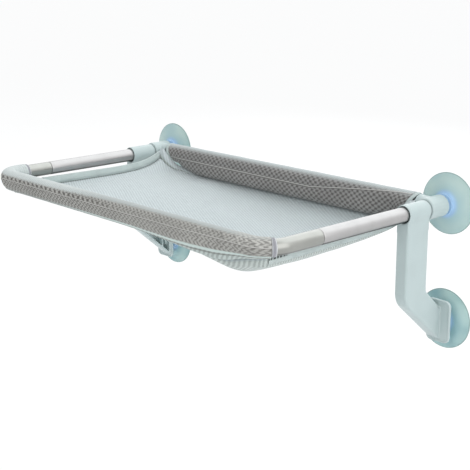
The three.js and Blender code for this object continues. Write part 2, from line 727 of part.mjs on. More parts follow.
/** The rear sleeve's radius at an angle, at a place along the rear rail. */
const rearRadius = (x) => (angle) => {
  const share = THREE.MathUtils.smoothstep(rearSleeveHalf - Math.abs(x), 0, REAR_TAIL_FADE_LENGTH);
  const loose = sleeveRadius + REAR_SLEEVE_GAP;
  return sleeveSection(angle, loose, REAR_TAIL_DEPTH * share, REAR_TAIL_LEAN, REAR_TAIL_SHARPNESS_SHARE);
};

/** Points of a sleeve round a station, from its outward direction up and round. */
function sleeveRing(station, radiusAt, slant = 0) {
  return Array.from({ length: SLEEVE_SIDES }, (_, k) => {
    const angle = (2 * Math.PI * k) / SLEEVE_SIDES;
    const radius = radiusAt(angle);
    return station.point
      .clone()
      .addScaledVector(station.outward, radius * Math.cos(angle))
      .addScaledVector(station.tangent, slant * (1 - Math.cos(angle - toRadians(REAR_SLANT_LEAN))))
      .add(new THREE.Vector3(0, 0, radius * Math.sin(angle)));
  });
}

/** The sewn border that wraps the front rail and hangs below it. */
function frontBorder() {
  const right = straightHalf + SLEEVE_NEAR_END;
  const left = -straightHalf - SLEEVE_FAR_END;
  const rings = frontRailDistances(right, left, SLEEVE_STEPS).map((distance) =>
    sleeveRing(frontRailStation(distance), frontRadius(distance)),
  );
  const bore = alongFrontRail(ring(boreRadius), right + OVERRUN, left - OVERRUN);
  return geometryOf(cut(solid(loft(rings)), solid(bore)));
}

const rearStation = (x) => ({
  point: at(x, rearRailReach, 0),
  tangent: new THREE.Vector3(-1, 0, 0),
  outward: new THREE.Vector3(0, -1, 0),
});

const rearBore = () =>
  solid(straightTube(at(branchEnd, rearRailReach, 0), at(-branchEnd, rearRailReach, 0), boreRadius, 0));

/** The sewn border that wraps the rear rail and drops to the bed as its rear wall. */
function rearBorder() {
  const rings = [];
  for (let k = 0; k <= SLEEVE_STEPS; k++) {
    const x = THREE.MathUtils.lerp(rearSleeveHalf, -rearSleeveHalf, k / SLEEVE_STEPS);
    const slant = Math.abs(x) > rearSleeveHalf - FIT ? Math.sign(x) * REAR_END_SLANT_LENGTH : 0;
    rings.push(sleeveRing(rearStation(x), rearRadius(x), slant));
  }
  return geometryOf(cut(solid(loft(rings)), rearBore()));
}

/** A tape band round the front rail, at an end of the front sleeve. */
function frontHem(start, end) {
  return alongFrontRail(ring(sleeveRadius + HEM_STEP, boreRadius), start, end);
}

/** A slanted tape band round the rear rail, at an end of the rear sleeve. */
function rearHem(side) {
  const radius = () => sleeveRadius + REAR_SLEEVE_GAP + HEM_STEP;
  const ends = [rearSleeveHalf + FIT, rearSleeveHalf + FIT + REAR_HEM_WIDTH].map((x) =>
    sleeveRing(rearStation(side * x), radius, side * REAR_END_SLANT_LENGTH),
  );
  return geometryOf(cut(solid(loft(side > 0 ? ends.reverse() : ends)), rearBore()));
}

/** A closed sheet of one thickness about rows of points that run across, the first row at the front. */
function sheet(rows, thickness) {
  const columns = rows[0].length;
  const count = rows.length * columns;
  const positions = [];
  for (const lift of [thickness / 2, -thickness / 2])
    rows.forEach((row, i) =>
      row.forEach((point, j) => {
        const ahead = rows[Math.min(i + 1, rows.length - 1)][j];
        const along = new THREE.Vector3().subVectors(ahead, rows[Math.max(i - 1, 0)][j]);
        const right = row[Math.min(j + 1, columns - 1)];
        const across = new THREE.Vector3().subVectors(right, row[Math.max(j - 1, 0)]);
        positions.push(...point.clone().addScaledVector(across.cross(along).normalize(), lift));
      }),
    );
  const index = [];
  for (let i = 0; i + 1 < rows.length; i++)
    for (let j = 0; j + 1 < columns; j++) {
      const a = i * columns + j;
      const [b, c, d] = [a + 1, a + columns, a + columns + 1];
      index.push(a, b, d, a, d, c);
      index.push(count + a, count + d, count + b, count + a, count + c, count + d);
    }
  const border = [];
  for (let j = 0; j < columns; j++) border.push(j);
  for (let i = 1; i < rows.length; i++) border.push(i * columns + columns - 1);
  for (let j = columns - 2; j >= 0; j--) border.push((rows.length - 1) * columns + j);
  for (let i = rows.length - 2; i > 0; i--) border.push(i * columns);
  border.forEach((a, k) => {
    const b = border[(k + 1) % border.length];
    index.push(a, count + a, count + b, a, count + b, b);
  });
  return new THREE.BufferGeometry()
    .setAttribute("position", new THREE.Float32BufferAttribute(positions, 3))
    .setIndex(index);
}

/** Column and row places of the bed, closer together towards its steep edges. */
const wallColumn = 1 - BED_WALL / bedRearHalf;
const spread = (count) =>
  Array.from({ length: count + 1 }, (_, k) => (1 - Math.cos((Math.PI * k) / count)) / 2);
const bedColumns = [-1, ...spread(BED_COLUMNS - 2).map((share) => wallColumn * (2 * share - 1)), 1];
const bedRows = [
  0,
  ...spread(BED_ROWS - 2).map((share) => THREE.MathUtils.lerp(WALL_START_SHARE, WALL_END_SHARE, share)),
  1,
];

/** The middle of the bed's cloth: across runs from -1 to 1, along from 0 at the front to 1 at the rear. */
function bedPoint(across, along) {
  const inner = THREE.MathUtils.clamp(across / wallColumn, -1, 1);
  const half = BED_THICKNESS / 2;
  const distance = straightHalf * inner + (inner > 0 ? BED_NEAR_CORNER : BED_FAR_CORNER) * inner;
  const station = frontRailStation(distance);
  const front = station.point.clone().addScaledVector(station.outward, -FRONT_INSET);
  front.z = Math.min(...sleeveRing(station, frontRadius(distance)).map((point) => point.z)) - FIT - half;

  const x = bedRearHalf * inner;
  const sewn = THREE.MathUtils.clamp(x, -rearSleeveHalf, rearSleeveHalf);
  const rise = THREE.MathUtils.smoothstep(Math.abs(inner), CORNER_RISE_SHARE, 1);
  const angle = toRadians(THREE.MathUtils.lerp(REAR_SEAM_LEAN, REAR_CORNER_LEAN, rise));
  const radius = rearRadius(sewn)(angle) + FIT + half + REAR_CORNER_GAP * rise;
  const rear = at(x, rearRailReach + radius * Math.cos(angle), radius * Math.sin(angle));

  const point = front.clone().lerp(rear, along);
  point.z = THREE.MathUtils.lerp(front.z, rear.z, along ** EDGE_RISE_SHARE);
  const fromEnd = Math.min(along / WALL_START_SHARE, (1 - along) / (1 - WALL_END_SHARE));
  const upright = THREE.MathUtils.clamp(fromEnd, WALL_LEAST_SHARE, 1);
  const strip = Math.min((1 - Math.abs(across)) / (1 - wallColumn), 1);
  const wall = upright * strip * Math.abs(inner) ** WALL_SPREAD_SHARE;
  const skewed = inner - SAG_SKEW_SHARE * (1 - inner ** 2);
  const deep = along ** SAG_FORWARD_SHARE;
  const fullness = THREE.MathUtils.smoothstep(inner, TAUT_END_SHARE, FULL_START_SHARE);
  const rearward = THREE.MathUtils.smoothstep(along, REAR_SAG_START_SHARE, REAR_SAG_END_SHARE);
  const frontSag = THREE.MathUtils.lerp(FAR_SAG_SHARE, NEAR_SAG_SHARE, fullness);
  const arch = (4 * deep * (1 - deep)) ** THREE.MathUtils.lerp(frontSag, REAR_SAG_SHARE, rearward);
  const bowl = (1 - skewed ** 2) ** SAG_ACROSS_SHARE * arch;
  const fan = Math.cos(FOLDS * Math.atan2(1 - Math.abs(inner), Math.min(along, 1 - along) + WALL_START_SHARE));
  point.x -= Math.sign(inner) * BED_WALL_LEAN * wall;
  point.z -= BED_WALL * wall + BED_SAG * bowl + BED_FOLD * fan * bowl * (1 - bowl);
  return point;
}

/** The bed's cloth: a thin sagging sheet with upright edges, from the front border to the rear one. */
function bedPanel() {
  const rows = bedRows.map((along) => bedColumns.map((across) => bedPoint(across, along)));
  return sheet(rows, BED_THICKNESS);
}

/** The folded tape along one upright side of the bed, open downwards to take the cloth's edge. */
function sideBinding(side) {
  const slot = BED_THICKNESS / 2 + FIT;
  const outer = slot + BINDING_WALL;
  const section = [
    [-BINDING_EDGE, -outer],
    [BINDING_WIDTH, -outer],
    [BINDING_WIDTH, -slot],
    [-FIT, -slot],
    [-FIT, slot],
    [BINDING_WIDTH, slot],
    [BINDING_WIDTH, outer],
    [-BINDING_EDGE, outer],
  ];
  const rows = bedRows.slice(1, -1);
  const rings = rows.map((along, i) => {
    const edge = bedPoint(side, along);
    const down = bedPoint(side * wallColumn, along).sub(edge).normalize();
    const before = bedPoint(side, rows[Math.max(i - 1, 0)]);
    const course = bedPoint(side, rows[Math.min(i + 1, rows.length - 1)]).sub(before);
    const normal = new THREE.Vector3().crossVectors(down, course).normalize();
    const corners = section.map(([a, b]) => edge.clone().addScaledVector(down, a).addScaledVector(normal, b));
    return corners.reverse();
  });
  return loft(rings);
}

const finishes = {
  polishedTube: { color: 0xc9c6c6, roughness: 0.22, metalness: 0.95 },
  whitePlastic: { color: 0xc9d8da, roughness: 0.4, metalness: 0 },
  innerPlastic: { color: 0x3a3d40, roughness: 0.6, metalness: 0 },
  clearRubber: { color: 0xa6c8cc, roughness: 0.2, metalness: 0 },
  zinc: { color: 0x9a9ca0, roughness: 0.35, metalness: 0.9 },
  greyMesh: { color: 0x96918c, roughness: 0.9, metalness: 0 },
  paleMesh: { color: 0xb9c6c6, roughness: 0.9, metalness: 0 },
  paleTape: { color: 0xc4d6d4, roughness: 0.8, metalness: 0 },
  greyTape: { color: 0xa09fa6, roughness: 0.8, metalness: 0 },
};

/** One named piece with a material of its own. */
function piece(name, geometry, finish) {
  const mesh = new THREE.Mesh(geometry, new THREE.MeshStandardMaterial(finishes[finish]));
  mesh.name = name;
  return mesh;
}

/** The pieces that both sides have, built about a side rail's axis with +X outward. */
function sidePieces(name) {
  const lower = new THREE.Group();
  lower.add(
    piece("lower_cup_" + name, suctionCup(), "clearRubber"),
    piece("lower_stud_" + name, stud(), "zinc"),
  );
  lower.position.set(LOWER_CUP_OFFSET, 0, -BRACKET_DROP);
  const group = new THREE.Group();
  group.add(
    lower,
    piece("bracket_" + name, bracket(), "whitePlastic"),
    piece("tee_" + name, tee(), "whitePlastic"),
    piece("side_rail_" + name, sideRail(), "polishedTube"),
    piece("rail_spigot_" + name, spigot(), "innerPlastic"),
    piece("upper_cup_" + name, suctionCup(), "clearRubber"),
    piece("upper_stud_" + name, stud(), "zinc"),
    piece("side_rail_screw_" + name, screw(teeScrew), "zinc"),
    piece("rear_rail_screw_" + name, screw(rearScrew), "zinc"),
  );
  return group;
}

const hammock = new THREE.Group();
for (const [name, side] of [
  ["right", 1],
  ["left", -1],
]) {
  const group = sidePieces(name);
  group.scale.x = side;
  group.position.x = side * railHalfSpan;
  hammock.add(
    group,
    piece("side_binding_" + name, sideBinding(side), "paleTape"),
    piece("rear_hem_" + name, rearHem(side), "paleTape"),
  );
}
const nearEnd = straightHalf + SLEEVE_NEAR_END + FIT;
const farEnd = -straightHalf - SLEEVE_FAR_END - FIT;
hammock.add(
  piece("front_rail", frontRail(), "polishedTube"),
  piece("rear_rail", rearRail(), "polishedTube"),
  piece("front_border", frontBorder(), "greyMesh"),
  piece("rear_border", rearBorder(), "greyMesh"),
  piece("bed_panel", bedPanel(), "paleMesh"),
  piece("front_hem_right", frontHem(nearEnd + FRONT_HEM_WIDTH, nearEnd), "greyTape"),
  piece("front_hem_left", frontHem(farEnd, farEnd - FRONT_HEM_WIDTH), "greyTape"),
);

export default hammock;
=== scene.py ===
# %% [markdown]
# # A window hammock for a small pet, dressed for the camera
#
# The real thing is a tube frame that lies flat on four suction cups, with a sewn mesh bed round its rails.
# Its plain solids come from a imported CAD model. This lesson keeps every place and size of that model and
# gives each piece a smoother surface, its sewing and a finish of its own. All lengths in Blender are metres,
# so the millimetre values below go through one small helper.

import math

import bmesh
import bpy
import numpy as np
from mathutils import Matrix, Vector


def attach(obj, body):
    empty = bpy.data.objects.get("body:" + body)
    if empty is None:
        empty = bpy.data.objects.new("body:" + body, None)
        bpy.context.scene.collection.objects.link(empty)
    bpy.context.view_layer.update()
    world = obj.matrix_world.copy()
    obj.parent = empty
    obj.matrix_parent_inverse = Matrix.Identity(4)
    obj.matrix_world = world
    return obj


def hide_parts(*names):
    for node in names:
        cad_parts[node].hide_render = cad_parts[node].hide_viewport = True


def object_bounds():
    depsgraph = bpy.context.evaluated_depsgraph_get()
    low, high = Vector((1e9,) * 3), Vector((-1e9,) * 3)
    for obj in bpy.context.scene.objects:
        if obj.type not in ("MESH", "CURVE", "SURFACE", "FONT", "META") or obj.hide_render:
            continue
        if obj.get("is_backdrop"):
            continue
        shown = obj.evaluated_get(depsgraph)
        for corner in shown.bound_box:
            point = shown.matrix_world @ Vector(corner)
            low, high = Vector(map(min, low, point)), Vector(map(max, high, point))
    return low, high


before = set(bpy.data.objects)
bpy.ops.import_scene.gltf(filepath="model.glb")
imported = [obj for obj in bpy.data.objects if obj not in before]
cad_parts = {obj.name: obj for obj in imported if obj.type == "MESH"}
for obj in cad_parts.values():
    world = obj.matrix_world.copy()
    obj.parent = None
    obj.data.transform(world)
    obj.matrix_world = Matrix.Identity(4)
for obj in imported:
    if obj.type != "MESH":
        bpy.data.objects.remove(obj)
cad_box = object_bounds()

# %% [markdown]
# ## Measures
#
# The frame is drawn from a few lengths, which repeat the values of the CAD source, so a new surface lies
# exactly where its solid was. The front sleeve runs past the start of the bends, by the near end's length at
# the right and the far end's at the left. The rails' seams lie 242 mm from the glass.

# %% Lengths of the frame and the cover, and small helpers


def mm(*values):
    """Millimetres as metres, one number or several."""
    return values[0] / 1000 if len(values) == 1 else [value / 1000 for value in values]


SIDES = (("right", 1.0), ("left", -1.0))
HALF_SPAN, REACH, TUBE, TUBE_WALL, BEND = mm(270, 322, 9.5, 1, 28)
STRAIGHT_HALF, BEND_START, QUARTER = HALF_SPAN - BEND, REACH - BEND, BEND * math.pi / 2
SEAM, SEAM_GAP, RAIL_END, FRONT_LEG = mm(242, 0.5, 24.3, 52)
BORE, SLEEVE, LOOSE_SLEEVE = mm(9.8, 10.8, 14.1)
NEAR_END, FAR_END = mm(25, 54)
REAR_REACH, REAR_HALF, REAR_RAIL_HALF = mm(29, 240.4, 257.9)
LOWER_CUP_X, BRACKET_DROP = mm(273, 153)
UP = np.array([0.0, 0.0, 1.0])


def in_scene(name, data):
    """A new object with this mesh, lamp or camera, linked to the scene."""
    made = bpy.data.objects.new(name, data)
    bpy.context.scene.collection.objects.link(made)
    return made


def round_turn(count):
    """That many equal angles, from 0 to almost a full turn."""
    return 2 * math.pi * np.arange(count) / count


def unit(vectors):
    """Vectors divided by their lengths."""
    return vectors / np.linalg.norm(vectors, axis=-1, keepdims=True)


print("front rail reaches", REACH, "m from the glass")

# %% [markdown]
# ## Camera
#
# The photograph is taken from the right, a little above the rails. Its place and lens were solved from the
# rails and the cups, so the picture of the model falls on the picture of the real thing.

# %% Camera at the photograph's angle
CAMERA_PLACE = Vector(mm(1063.9, -1108.6, 315.1))
YAW, PITCH, ROLL = (math.radians(angle) for angle in (47.07, 14.93, -0.12))
looking = Vector((-math.sin(YAW) * math.cos(PITCH), math.cos(YAW) * math.cos(PITCH), -math.sin(PITCH)))
camera = in_scene("camera", bpy.data.cameras.new("camera"))
camera.location = CAMERA_PLACE
aim = looking.to_track_quat("-Z", "Y") @ Matrix.Rotation(ROLL, 3, "Z").to_quaternion()
camera.rotation_euler = aim.to_euler()
camera.data.lens, camera.data.sensor_width, camera.data.clip_start = 82.86, 36, 0.05
bpy.context.scene.camera = camera
bpy.context.scene.view_settings.view_transform = "Standard"
print("camera looks along", [round(value, 3) for value in looking])

# %% [markdown]
# ## Surfaces as grids
#
# Nearly every new piece is a grid of points worked out at once as an array. Neighbours in the grid make the
# faces. A grid may close on itself along its rows or its columns, as a tube does.

# %% Turn a grid of points into a mesh object


def grid_faces(rows, columns, closed_rows=False, closed_columns=False):
    """Four corner numbers per face: point (i, j) is number i * columns + j, and a closed side wraps round."""
    i, j = np.meshgrid(
        np.arange(rows if closed_rows else rows - 1),
        np.arange(columns if closed_columns else columns - 1),
        indexing="ij",
    )
    below, beside = (i + 1) % rows, (j + 1) % columns
    corners = [i * columns + j, i * columns + beside, below * columns + beside, below * columns + j]
    return np.stack(corners, axis=-1).reshape(-1, 4)


def enclosed(points, faces):
    """Six times the volume inside the faces by summing corner products: negative if they point inwards."""
    a, b, c, d = (points[faces[:, k]] for k in range(4))
    return float((np.cross(a, b) * c).sum() + (np.cross(a, c) * d).sum())


def new_object(name, points, faces, cloth_map=None):
    """A smooth mesh object. The optional map gives each face's corners their place on the flat cloth."""
    mesh = bpy.data.meshes.new(name)
    mesh.from_pydata(points.tolist(), [], faces.tolist())
    if cloth_map is not None:
        layer = mesh.uv_layers.new(name="cloth")
        layer.data.foreach_set("uv", np.ascontiguousarray(cloth_map, np.float32).ravel())
    mesh.polygons.foreach_set("use_smooth", np.ones(len(mesh.polygons), bool))
    return in_scene(name, mesh)


def grid_object(name, grid, closed_rows=False, closed_columns=False, cloth=None, flip=False):
    """A grid of shape (rows, columns, 3) as an object; cloth is a grid of flat places in metres, with one
    more row or column wherever the surface closes on itself."""
    rows, columns = grid.shape[:2]
    faces = grid_faces(rows, columns, closed_rows, closed_columns)
    cloth_map = None
    if cloth is not None:
        wide = cloth.shape[1]
        i, j = np.divmod(faces[:, 0], columns)
        corner = i * wide + j
        corners = np.stack([corner, corner + 1, corner + wide + 1, corner + wide], axis=1)
        cloth_map = cloth.reshape(-1, 2)[corners]
    points = grid.reshape(-1, 3)
    inside_out = enclosed(points, faces) < 0 if closed_rows and closed_columns else flip
    if inside_out:
        faces = faces[:, ::-1]
        cloth_map = None if cloth_map is None else cloth_map[:, ::-1]
    return new_object(name, points, faces, cloth_map)


def weld(piece, apart=mm(0.001)):
    """Join points that lie on each other, as at a pole or a closed end, and point all faces outwards."""
    work = bmesh.new()
    work.from_mesh(piece.data)
    bmesh.ops.remove_doubles(work, verts=work.verts, dist=apart)
    bmesh.ops.dissolve_degenerate(work, edges=work.edges, dist=apart / 10)
    bmesh.ops.recalc_face_normals(work, faces=work.faces)
    work.to_mesh(piece.data)
    work.free()
    return piece


print("a 3 by 4 grid has", len(grid_faces(3, 4)), "faces")

# %% [markdown]
# ## Finish and place a piece
#
# A piece rides on the CAD body that it belongs to, stands for the solids it replaces, and takes its finish.
# One helper does these together, so none is forgotten.

# %% Apply modifiers and hand a piece to the frame


def applied(piece):
    """Bake the modifiers of a piece into its mesh."""
    graph = bpy.context.evaluated_depsgraph_get()
    graph.update()
    baked = bpy.data.meshes.new_from_object(piece.evaluated_get(graph))
    old, piece.data = piece.data, baked
    piece.modifiers.clear()
    bpy.data.meshes.remove(old)
    return piece


def wear(piece, material):
    """Give a piece one finish in place of any that it has."""
    piece.data.materials.clear()
    piece.data.materials.append(material)


def place(piece, body, material, slot, *replaced):
    """Give a piece its finish, its body and the CAD solids that it stands for. The slot is not used."""
    wear(piece, material)
    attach(piece, body)
    if replaced:
        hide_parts(*replaced)
    print(piece.name, "has", len(piece.data.polygons), "faces")
    return piece


def thicken(piece, thickness, offset=-1):
    """Give an open surface of cloth its thickness: offset -1 grows inwards, 0 to both sides."""
    wall = piece.modifiers.new("thickness", "SOLIDIFY")
    wall.thickness, wall.offset, wall.use_even_offset = thickness, offset, True
    return applied(piece)


# %% [markdown]
# ## Shader sums as plain Python
#
# A pattern such as a knitted mesh is a sum and product of waves. Writing it as an expression is far easier to
# read than a row of node calls, so a small class wraps one socket and turns + - * into Math nodes. Any other
# node comes from its method called node.

# %% One class that turns expressions into nodes


def plug(socket, value):
    """Link a Signal to a node's socket, or set a plain value there."""
    if isinstance(value, Signal):
        value.tree.links.new(value.socket, socket)
    else:
        socket.default_value = value


class Signal:
    """A value that flows through a material's nodes."""

    def __init__(self, tree, socket=None):
        self.tree, self.socket = tree, socket

    def node(self, kind, settings=None, sockets=None, out=0):
        """Add a node: settings first, a ramp's stops among them, then values or links by socket, whose key is
        a name or a number. Out picks the output that the new Signal carries."""
        made = self.tree.nodes.new("ShaderNode" + kind)
        for key, value in (settings or {}).items():
            if key == "stops":
                stops = made.color_ramp.elements
                while len(stops) > 1:
                    stops.remove(stops[-1])
                stops[0].position, stops[0].color = value[0][0], (*value[0][1], 1)
                for where, colour in value[1:]:
                    stops.new(where).color = (*colour, 1)
            else:
                setattr(made, key, value)
        for key, value in (sockets or {}).items():
            plug(made.inputs[key], value)
        return Signal(self.tree, made.outputs[out])

    def math(self, operation, *terms):
        return self.node("Math", {"operation": operation}, dict(enumerate(terms)))

    def __add__(self, other):
        return self.math("ADD", self, other)

    def __sub__(self, other):
        return self.math("SUBTRACT", self, other)

    def __rsub__(self, other):
        return self.math("SUBTRACT", other, self)

    def __mul__(self, other):
        return self.math("MULTIPLY", self, other)

    def __abs__(self):
        return self.math("ABSOLUTE", self)

    def between(self, low, high):
        """0 at low, 1 at high, and a smooth change from one to the other; low may be the larger one."""
        ends = {"Value": self, "From Min": low, "From Max": high}
        return self.node("MapRange", {"interpolation_type": "SMOOTHSTEP"}, ends)

    def wave(self, length, shift=0.0):
        """A cosine of that wavelength, from -1 to 1."""
        return self.math("COSINE", self * (2 * math.pi / length) + shift)

    def mixed(self, low, high):
        """The colour low where the value is 0 and high where it is 1; either may be a colour or a link. A Mix
        node has sockets of one name for every kind of value, so those for colours go by number."""
        low, high = (end if isinstance(end, Signal) else (*end, 1) for end in (low, high))
        return self.node("Mix", {"data_type": "RGBA"}, {0: self, 6: low, 7: high}, out=2)


# %% [markdown]
# A finish starts from the Principled shader with a few constant values. What varies over the surface is
# worked out as a Signal and then linked to the shader's sockets.

# %% Make a finish and feed it


def feed(material, **sockets):
    """Give the Principled shader's sockets values or links, by keys such as coat_weight. A height with its
    depth makes a Bump node. Returns the material."""
    for key, value in sockets.items():
        if key == "height":
            height, depth = value
            bump = {"Height": height, "Distance": depth, "Strength": 1.0}
            key, value = "normal", height.node("Bump", {}, bump)
        name = key.replace("_", " ").title().replace("Ior", "IOR")
        plug(material.node_tree.nodes["Principled BSDF"].inputs[name], value)
    return material


def finish(name, **constants):
    """A new material whose shader has these constant values: returns it with a first Signal."""
    material = bpy.data.materials.new(name)
    material.use_nodes = True
    return feed(material, **constants), Signal(material.node_tree)


def rgb(red, green, blue):
    """Colour as it is read in a picture, 0 to 255, turned into the linear values that a shader takes."""
    share = np.array([red, green, blue]) / 255
    return tuple(np.where(share <= 0.04045, share / 12.92, ((share + 0.055) / 1.055) ** 2.4).tolist())


def darker(colour, share):
    """A colour with that share of its light."""
    return tuple(value * share for value in colour)


def part(vector, axis):
    """One coordinate of a vector: 0, 1 or 2 for x, y or z."""
    return vector.node("SeparateXYZ", {}, {"Vector": vector}, out=axis)


def noise(places, scale, detail):
    """Smooth noise round one half: scale is its patches per metre, detail the finer layers on it."""
    return places.node("TexNoise", {}, {"Vector": places, "Scale": scale, "Detail": detail})


print("mid grey", [round(value, 3) for value in rgb(128, 128, 128)])

# %% [markdown]
# ## Steel tube
#
# The rails are thin steel with a satin finish: pale along the top and a soft grey middle. The thin dark line
# where the tube turns under is painted shade, and the front and rear rails take a darker copy of the steel,
# also painted shade. Very fine lines along the tube keep its reflections from looking like glass.

# %% Satin steel


def steel_finish(name, colour, roughness, line_axis, painted_shade_share=0.0):
    """Metal with fine lines across one axis and slow changes of gloss. The last argument is the share of
    painted shade, a dark line painted on a rail below about half of its radius."""
    material, source = finish(name, metallic=1.0)
    places = source.node("TexCoord", out="Object")
    lines = noise(source.node("Mapping", {}, {"Vector": places, "Scale": line_axis}), 1.0, 3.0)
    cloudy = noise(places, 45.0, 4.0)
    # Painted shade: a dark line along the rail's underside, darker than the steel itself.
    below = part(places, 2).between(mm(-4.8), mm(-6.8)) * painted_shade_share
    worn = cloudy.between(0.35, 0.75).mixed(colour, darker(colour, 0.93))
    return feed(
        material,
        base_color=below.mixed(worn, rgb(70, 74, 74)),
        roughness=cloudy * 0.10 + lines * 0.05 + (roughness - 0.07),
        height=(lines, mm(0.01)),
    )


side_steel = steel_finish("side_rail_steel", rgb(182, 181, 181), 0.42, (3000, 90, 3000), 1.0)
# Painted shade: the front and rear rails take a darker copy of the side rails' steel.
shaded_steel = steel_finish("front_rail_steel", rgb(166, 167, 163), 0.34, (90, 3000, 3000), 0.7)
zinc_steel = steel_finish("zinc_screw_steel", rgb(176, 180, 186), 0.33, (900, 900, 900))
print("steel:", side_steel.name, shaded_steel.name, zinc_steel.name)

# %% [markdown]
# A tube is a ring carried along a line. The rail's line runs straight, turns a quarter circle at each corner
# and runs back towards the glass. The outward direction and the upright set each ring, so none twists.

# %% The rail's line and a hollow tube along it


def front_line(distance):
    """Places and outward directions at distances from the front rail's middle, positive right. In a bend x
    grows by BEND times the sine of the angle past its start, and the reach falls with the cosine."""
    side = np.where(distance < 0, -1.0, 1.0)
    past = np.abs(distance) - STRAIGHT_HALF
    angle = np.clip(past / BEND, 0, math.pi / 2)
    x = side * (np.minimum(np.abs(distance), STRAIGHT_HALF) + BEND * np.sin(angle))
    reach = BEND_START + BEND * np.cos(angle) - np.maximum(past - QUARTER, 0)
    flat = np.zeros_like(x)
    return np.stack([x, -reach, flat], -1), np.stack([side * np.sin(angle), -np.cos(angle), flat], -1)


def side_line(x):
    """The line of a side rail: distance is the reach from the glass, outward is away from the middle."""

    def line(reach):
        points = np.stack([np.full_like(reach, x), -reach, np.zeros_like(reach)], -1)
        return points, np.broadcast_to((math.copysign(1.0, x), 0.0, 0.0), points.shape)

    return line


def rear_line(x):
    """The line of the rear rail: distance is x, outward is into the room."""
    points = np.stack([x, np.full_like(x, -REAR_REACH), np.zeros_like(x)], -1)
    return points, np.broadcast_to((0.0, -1.0, 0.0), points.shape)


def rings(line, distances, radii, sides=64, start=0.0):
    """Rings round a line: outward times radius times cosine, plus up times radius times sine."""
    points, outward = line(distances)
    angle = start + round_turn(sides)
    radii = radii if radii.ndim == 2 else radii[:, None] * np.ones(sides)
    sideways, upward = (radii * np.cos(angle))[..., None], (radii * np.sin(angle))[..., None]
    return points[:, None] + sideways * outward[:, None] + upward * UP


def hollow_tube(name, line, stops, outer, inner, edge):
    """A tube with rounded rims: out along the stops at the outer radius and back at the inner one."""
    first, last = stops[0], stops[-1]
    onward = math.copysign(1.0, last - first)
    quarter = np.linspace(0, math.pi / 2, 5)
    inset, rim = onward * edge * (1 - np.cos(quarter)), outer - edge * (1 - np.sin(quarter))
    middle = stops[(np.abs(stops - first) > 1.5 * edge) & (np.abs(stops - last) > 1.5 * edge)]
    level = np.ones(len(middle))
    distances = np.concatenate([[first], first + inset, middle, last - inset[::-1], [last], middle[::-1]])
    radii = np.concatenate([[inner], rim, outer * level, rim[::-1], [inner], inner * level])
    return grid_object(name, rings(line, distances, radii), True, True)


rail_half = STRAIGHT_HALF + QUARTER + FRONT_LEG - SEAM_GAP / 2
corner_stops = STRAIGHT_HALF + QUARTER * np.linspace(0, 1, 25)
straight_stops = np.linspace(-STRAIGHT_HALF, STRAIGHT_HALF, 9)[1:-1]
rail_stops = np.concatenate([[-rail_half], -corner_stops[::-1], straight_stops, corner_stops, [rail_half]])
side_stops = np.linspace(RAIL_END, SEAM - SEAM_GAP / 2, 12)
rear_stops = np.linspace(-REAR_RAIL_HALF, REAR_RAIL_HALF, 12)
for node, line, stops, edge, steel in (
    ("front_rail", front_line, rail_stops, mm(0.7), shaded_steel),
    ("side_rail_right", side_line(HALF_SPAN), side_stops, mm(0.7), side_steel),
    ("side_rail_left", side_line(-HALF_SPAN), side_stops, mm(0.7), side_steel),
    ("rear_rail", rear_line, rear_stops, mm(0.5), shaded_steel),
):
    tube = hollow_tube(node.replace("rail", "rail_tube"), line, stops, TUBE, TUBE - TUBE_WALL, edge)
    place(tube, "frame", steel, "steel_tube", node)

# %% [markdown]
# ## Moulded plastic
#
# The brackets and the tees are injection moulded, so every edge is a little round. Their solids have the
# right shape with crisp edges. A voxel remesh lays an even skin over a copy of the solid, and a few rounds of
# smoothing soften its edges, where a bevel would trip over the many small cuts.

# %% A softened copy of a moulded solid


def moulded(name, node, voxel, rounds):
    """Copy a CAD solid, join its loose triangles, lay an even skin over it and soften that."""
    piece = weld(in_scene(name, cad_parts[node].data.copy()))
    skin = piece.modifiers.new("skin", "REMESH")
    skin.mode, skin.voxel_size, skin.use_smooth_shade = "VOXEL", voxel, True
    soft = piece.modifiers.new("soft edges", "SMOOTH")
    soft.factor, soft.iterations = 0.5, rounds
    return applied(piece)


def plastic_finish(name, colour, roughness):
    """Satin plastic: a fine eggshell texture, a faint cloudiness of colour and slow changes of gloss."""
    material, source = finish(name, coat_weight=0.12, coat_roughness=0.35)
    places = source.node("TexCoord", out="Object")
    grain, cloudy = noise(places, 2600.0, 2.0), noise(places, 28.0, 3.0)
    return feed(
        material,
        base_color=cloudy.between(0.3, 0.8).mixed(colour, darker(colour, 0.95)),
        roughness=cloudy * 0.12 + (roughness - 0.06),
        height=(grain, mm(0.02)),
    )


white_plastic = plastic_finish("white_plastic", rgb(184, 198, 198), 0.38)
black_plastic = plastic_finish("spigot_plastic", rgb(62, 64, 68), 0.5)
for side, _ in SIDES:
    bracket = moulded(f"bracket_shell_{side}", f"bracket_{side}", mm(0.9), 3)
    place(bracket, f"bracket_{side}", white_plastic, "white_plastic", f"bracket_{side}")
    tee = moulded(f"tee_shell_{side}", f"tee_{side}", mm(0.6), 3)
    place(tee, "frame", white_plastic, "white_plastic", f"tee_{side}")

# %% [markdown]
# ## Suction cups
#
# A cup is turned, so it is one profile spun round its axis: a flat lip, a shallow hollow, a dished back and a
# hub with a neck. The rubber is clear with a bluish tint, which is deepest at the thick hub. The light blue
# glow at the hub is a painted highlight, and the lower cups' darker middle is partly painted shade under the
# bracket's foot.

# %% Spin a profile into a cup


def turned(name, profile, centre, sides=96):
    """Spin (radius, reach) points round an axis that runs along Y through (x, z)."""
    angle = round_turn(sides)
    radius, reach = profile[:, :1], profile[:, 1:]
    x, z = centre[0] + radius * np.cos(angle), centre[1] + radius * np.sin(angle)
    grid = np.stack([x, -reach + 0 * angle, z], axis=-1)
    return weld(grid_object(name, grid, closed_columns=True))


def arc(centre, radius, start, end, steps=6):
    """Points of a circular corner, between two angles in degrees."""
    angle = np.radians(np.linspace(start, end, steps))
    return np.stack([centre[0] + radius * np.cos(angle), centre[1] + radius * np.sin(angle)], axis=-1)


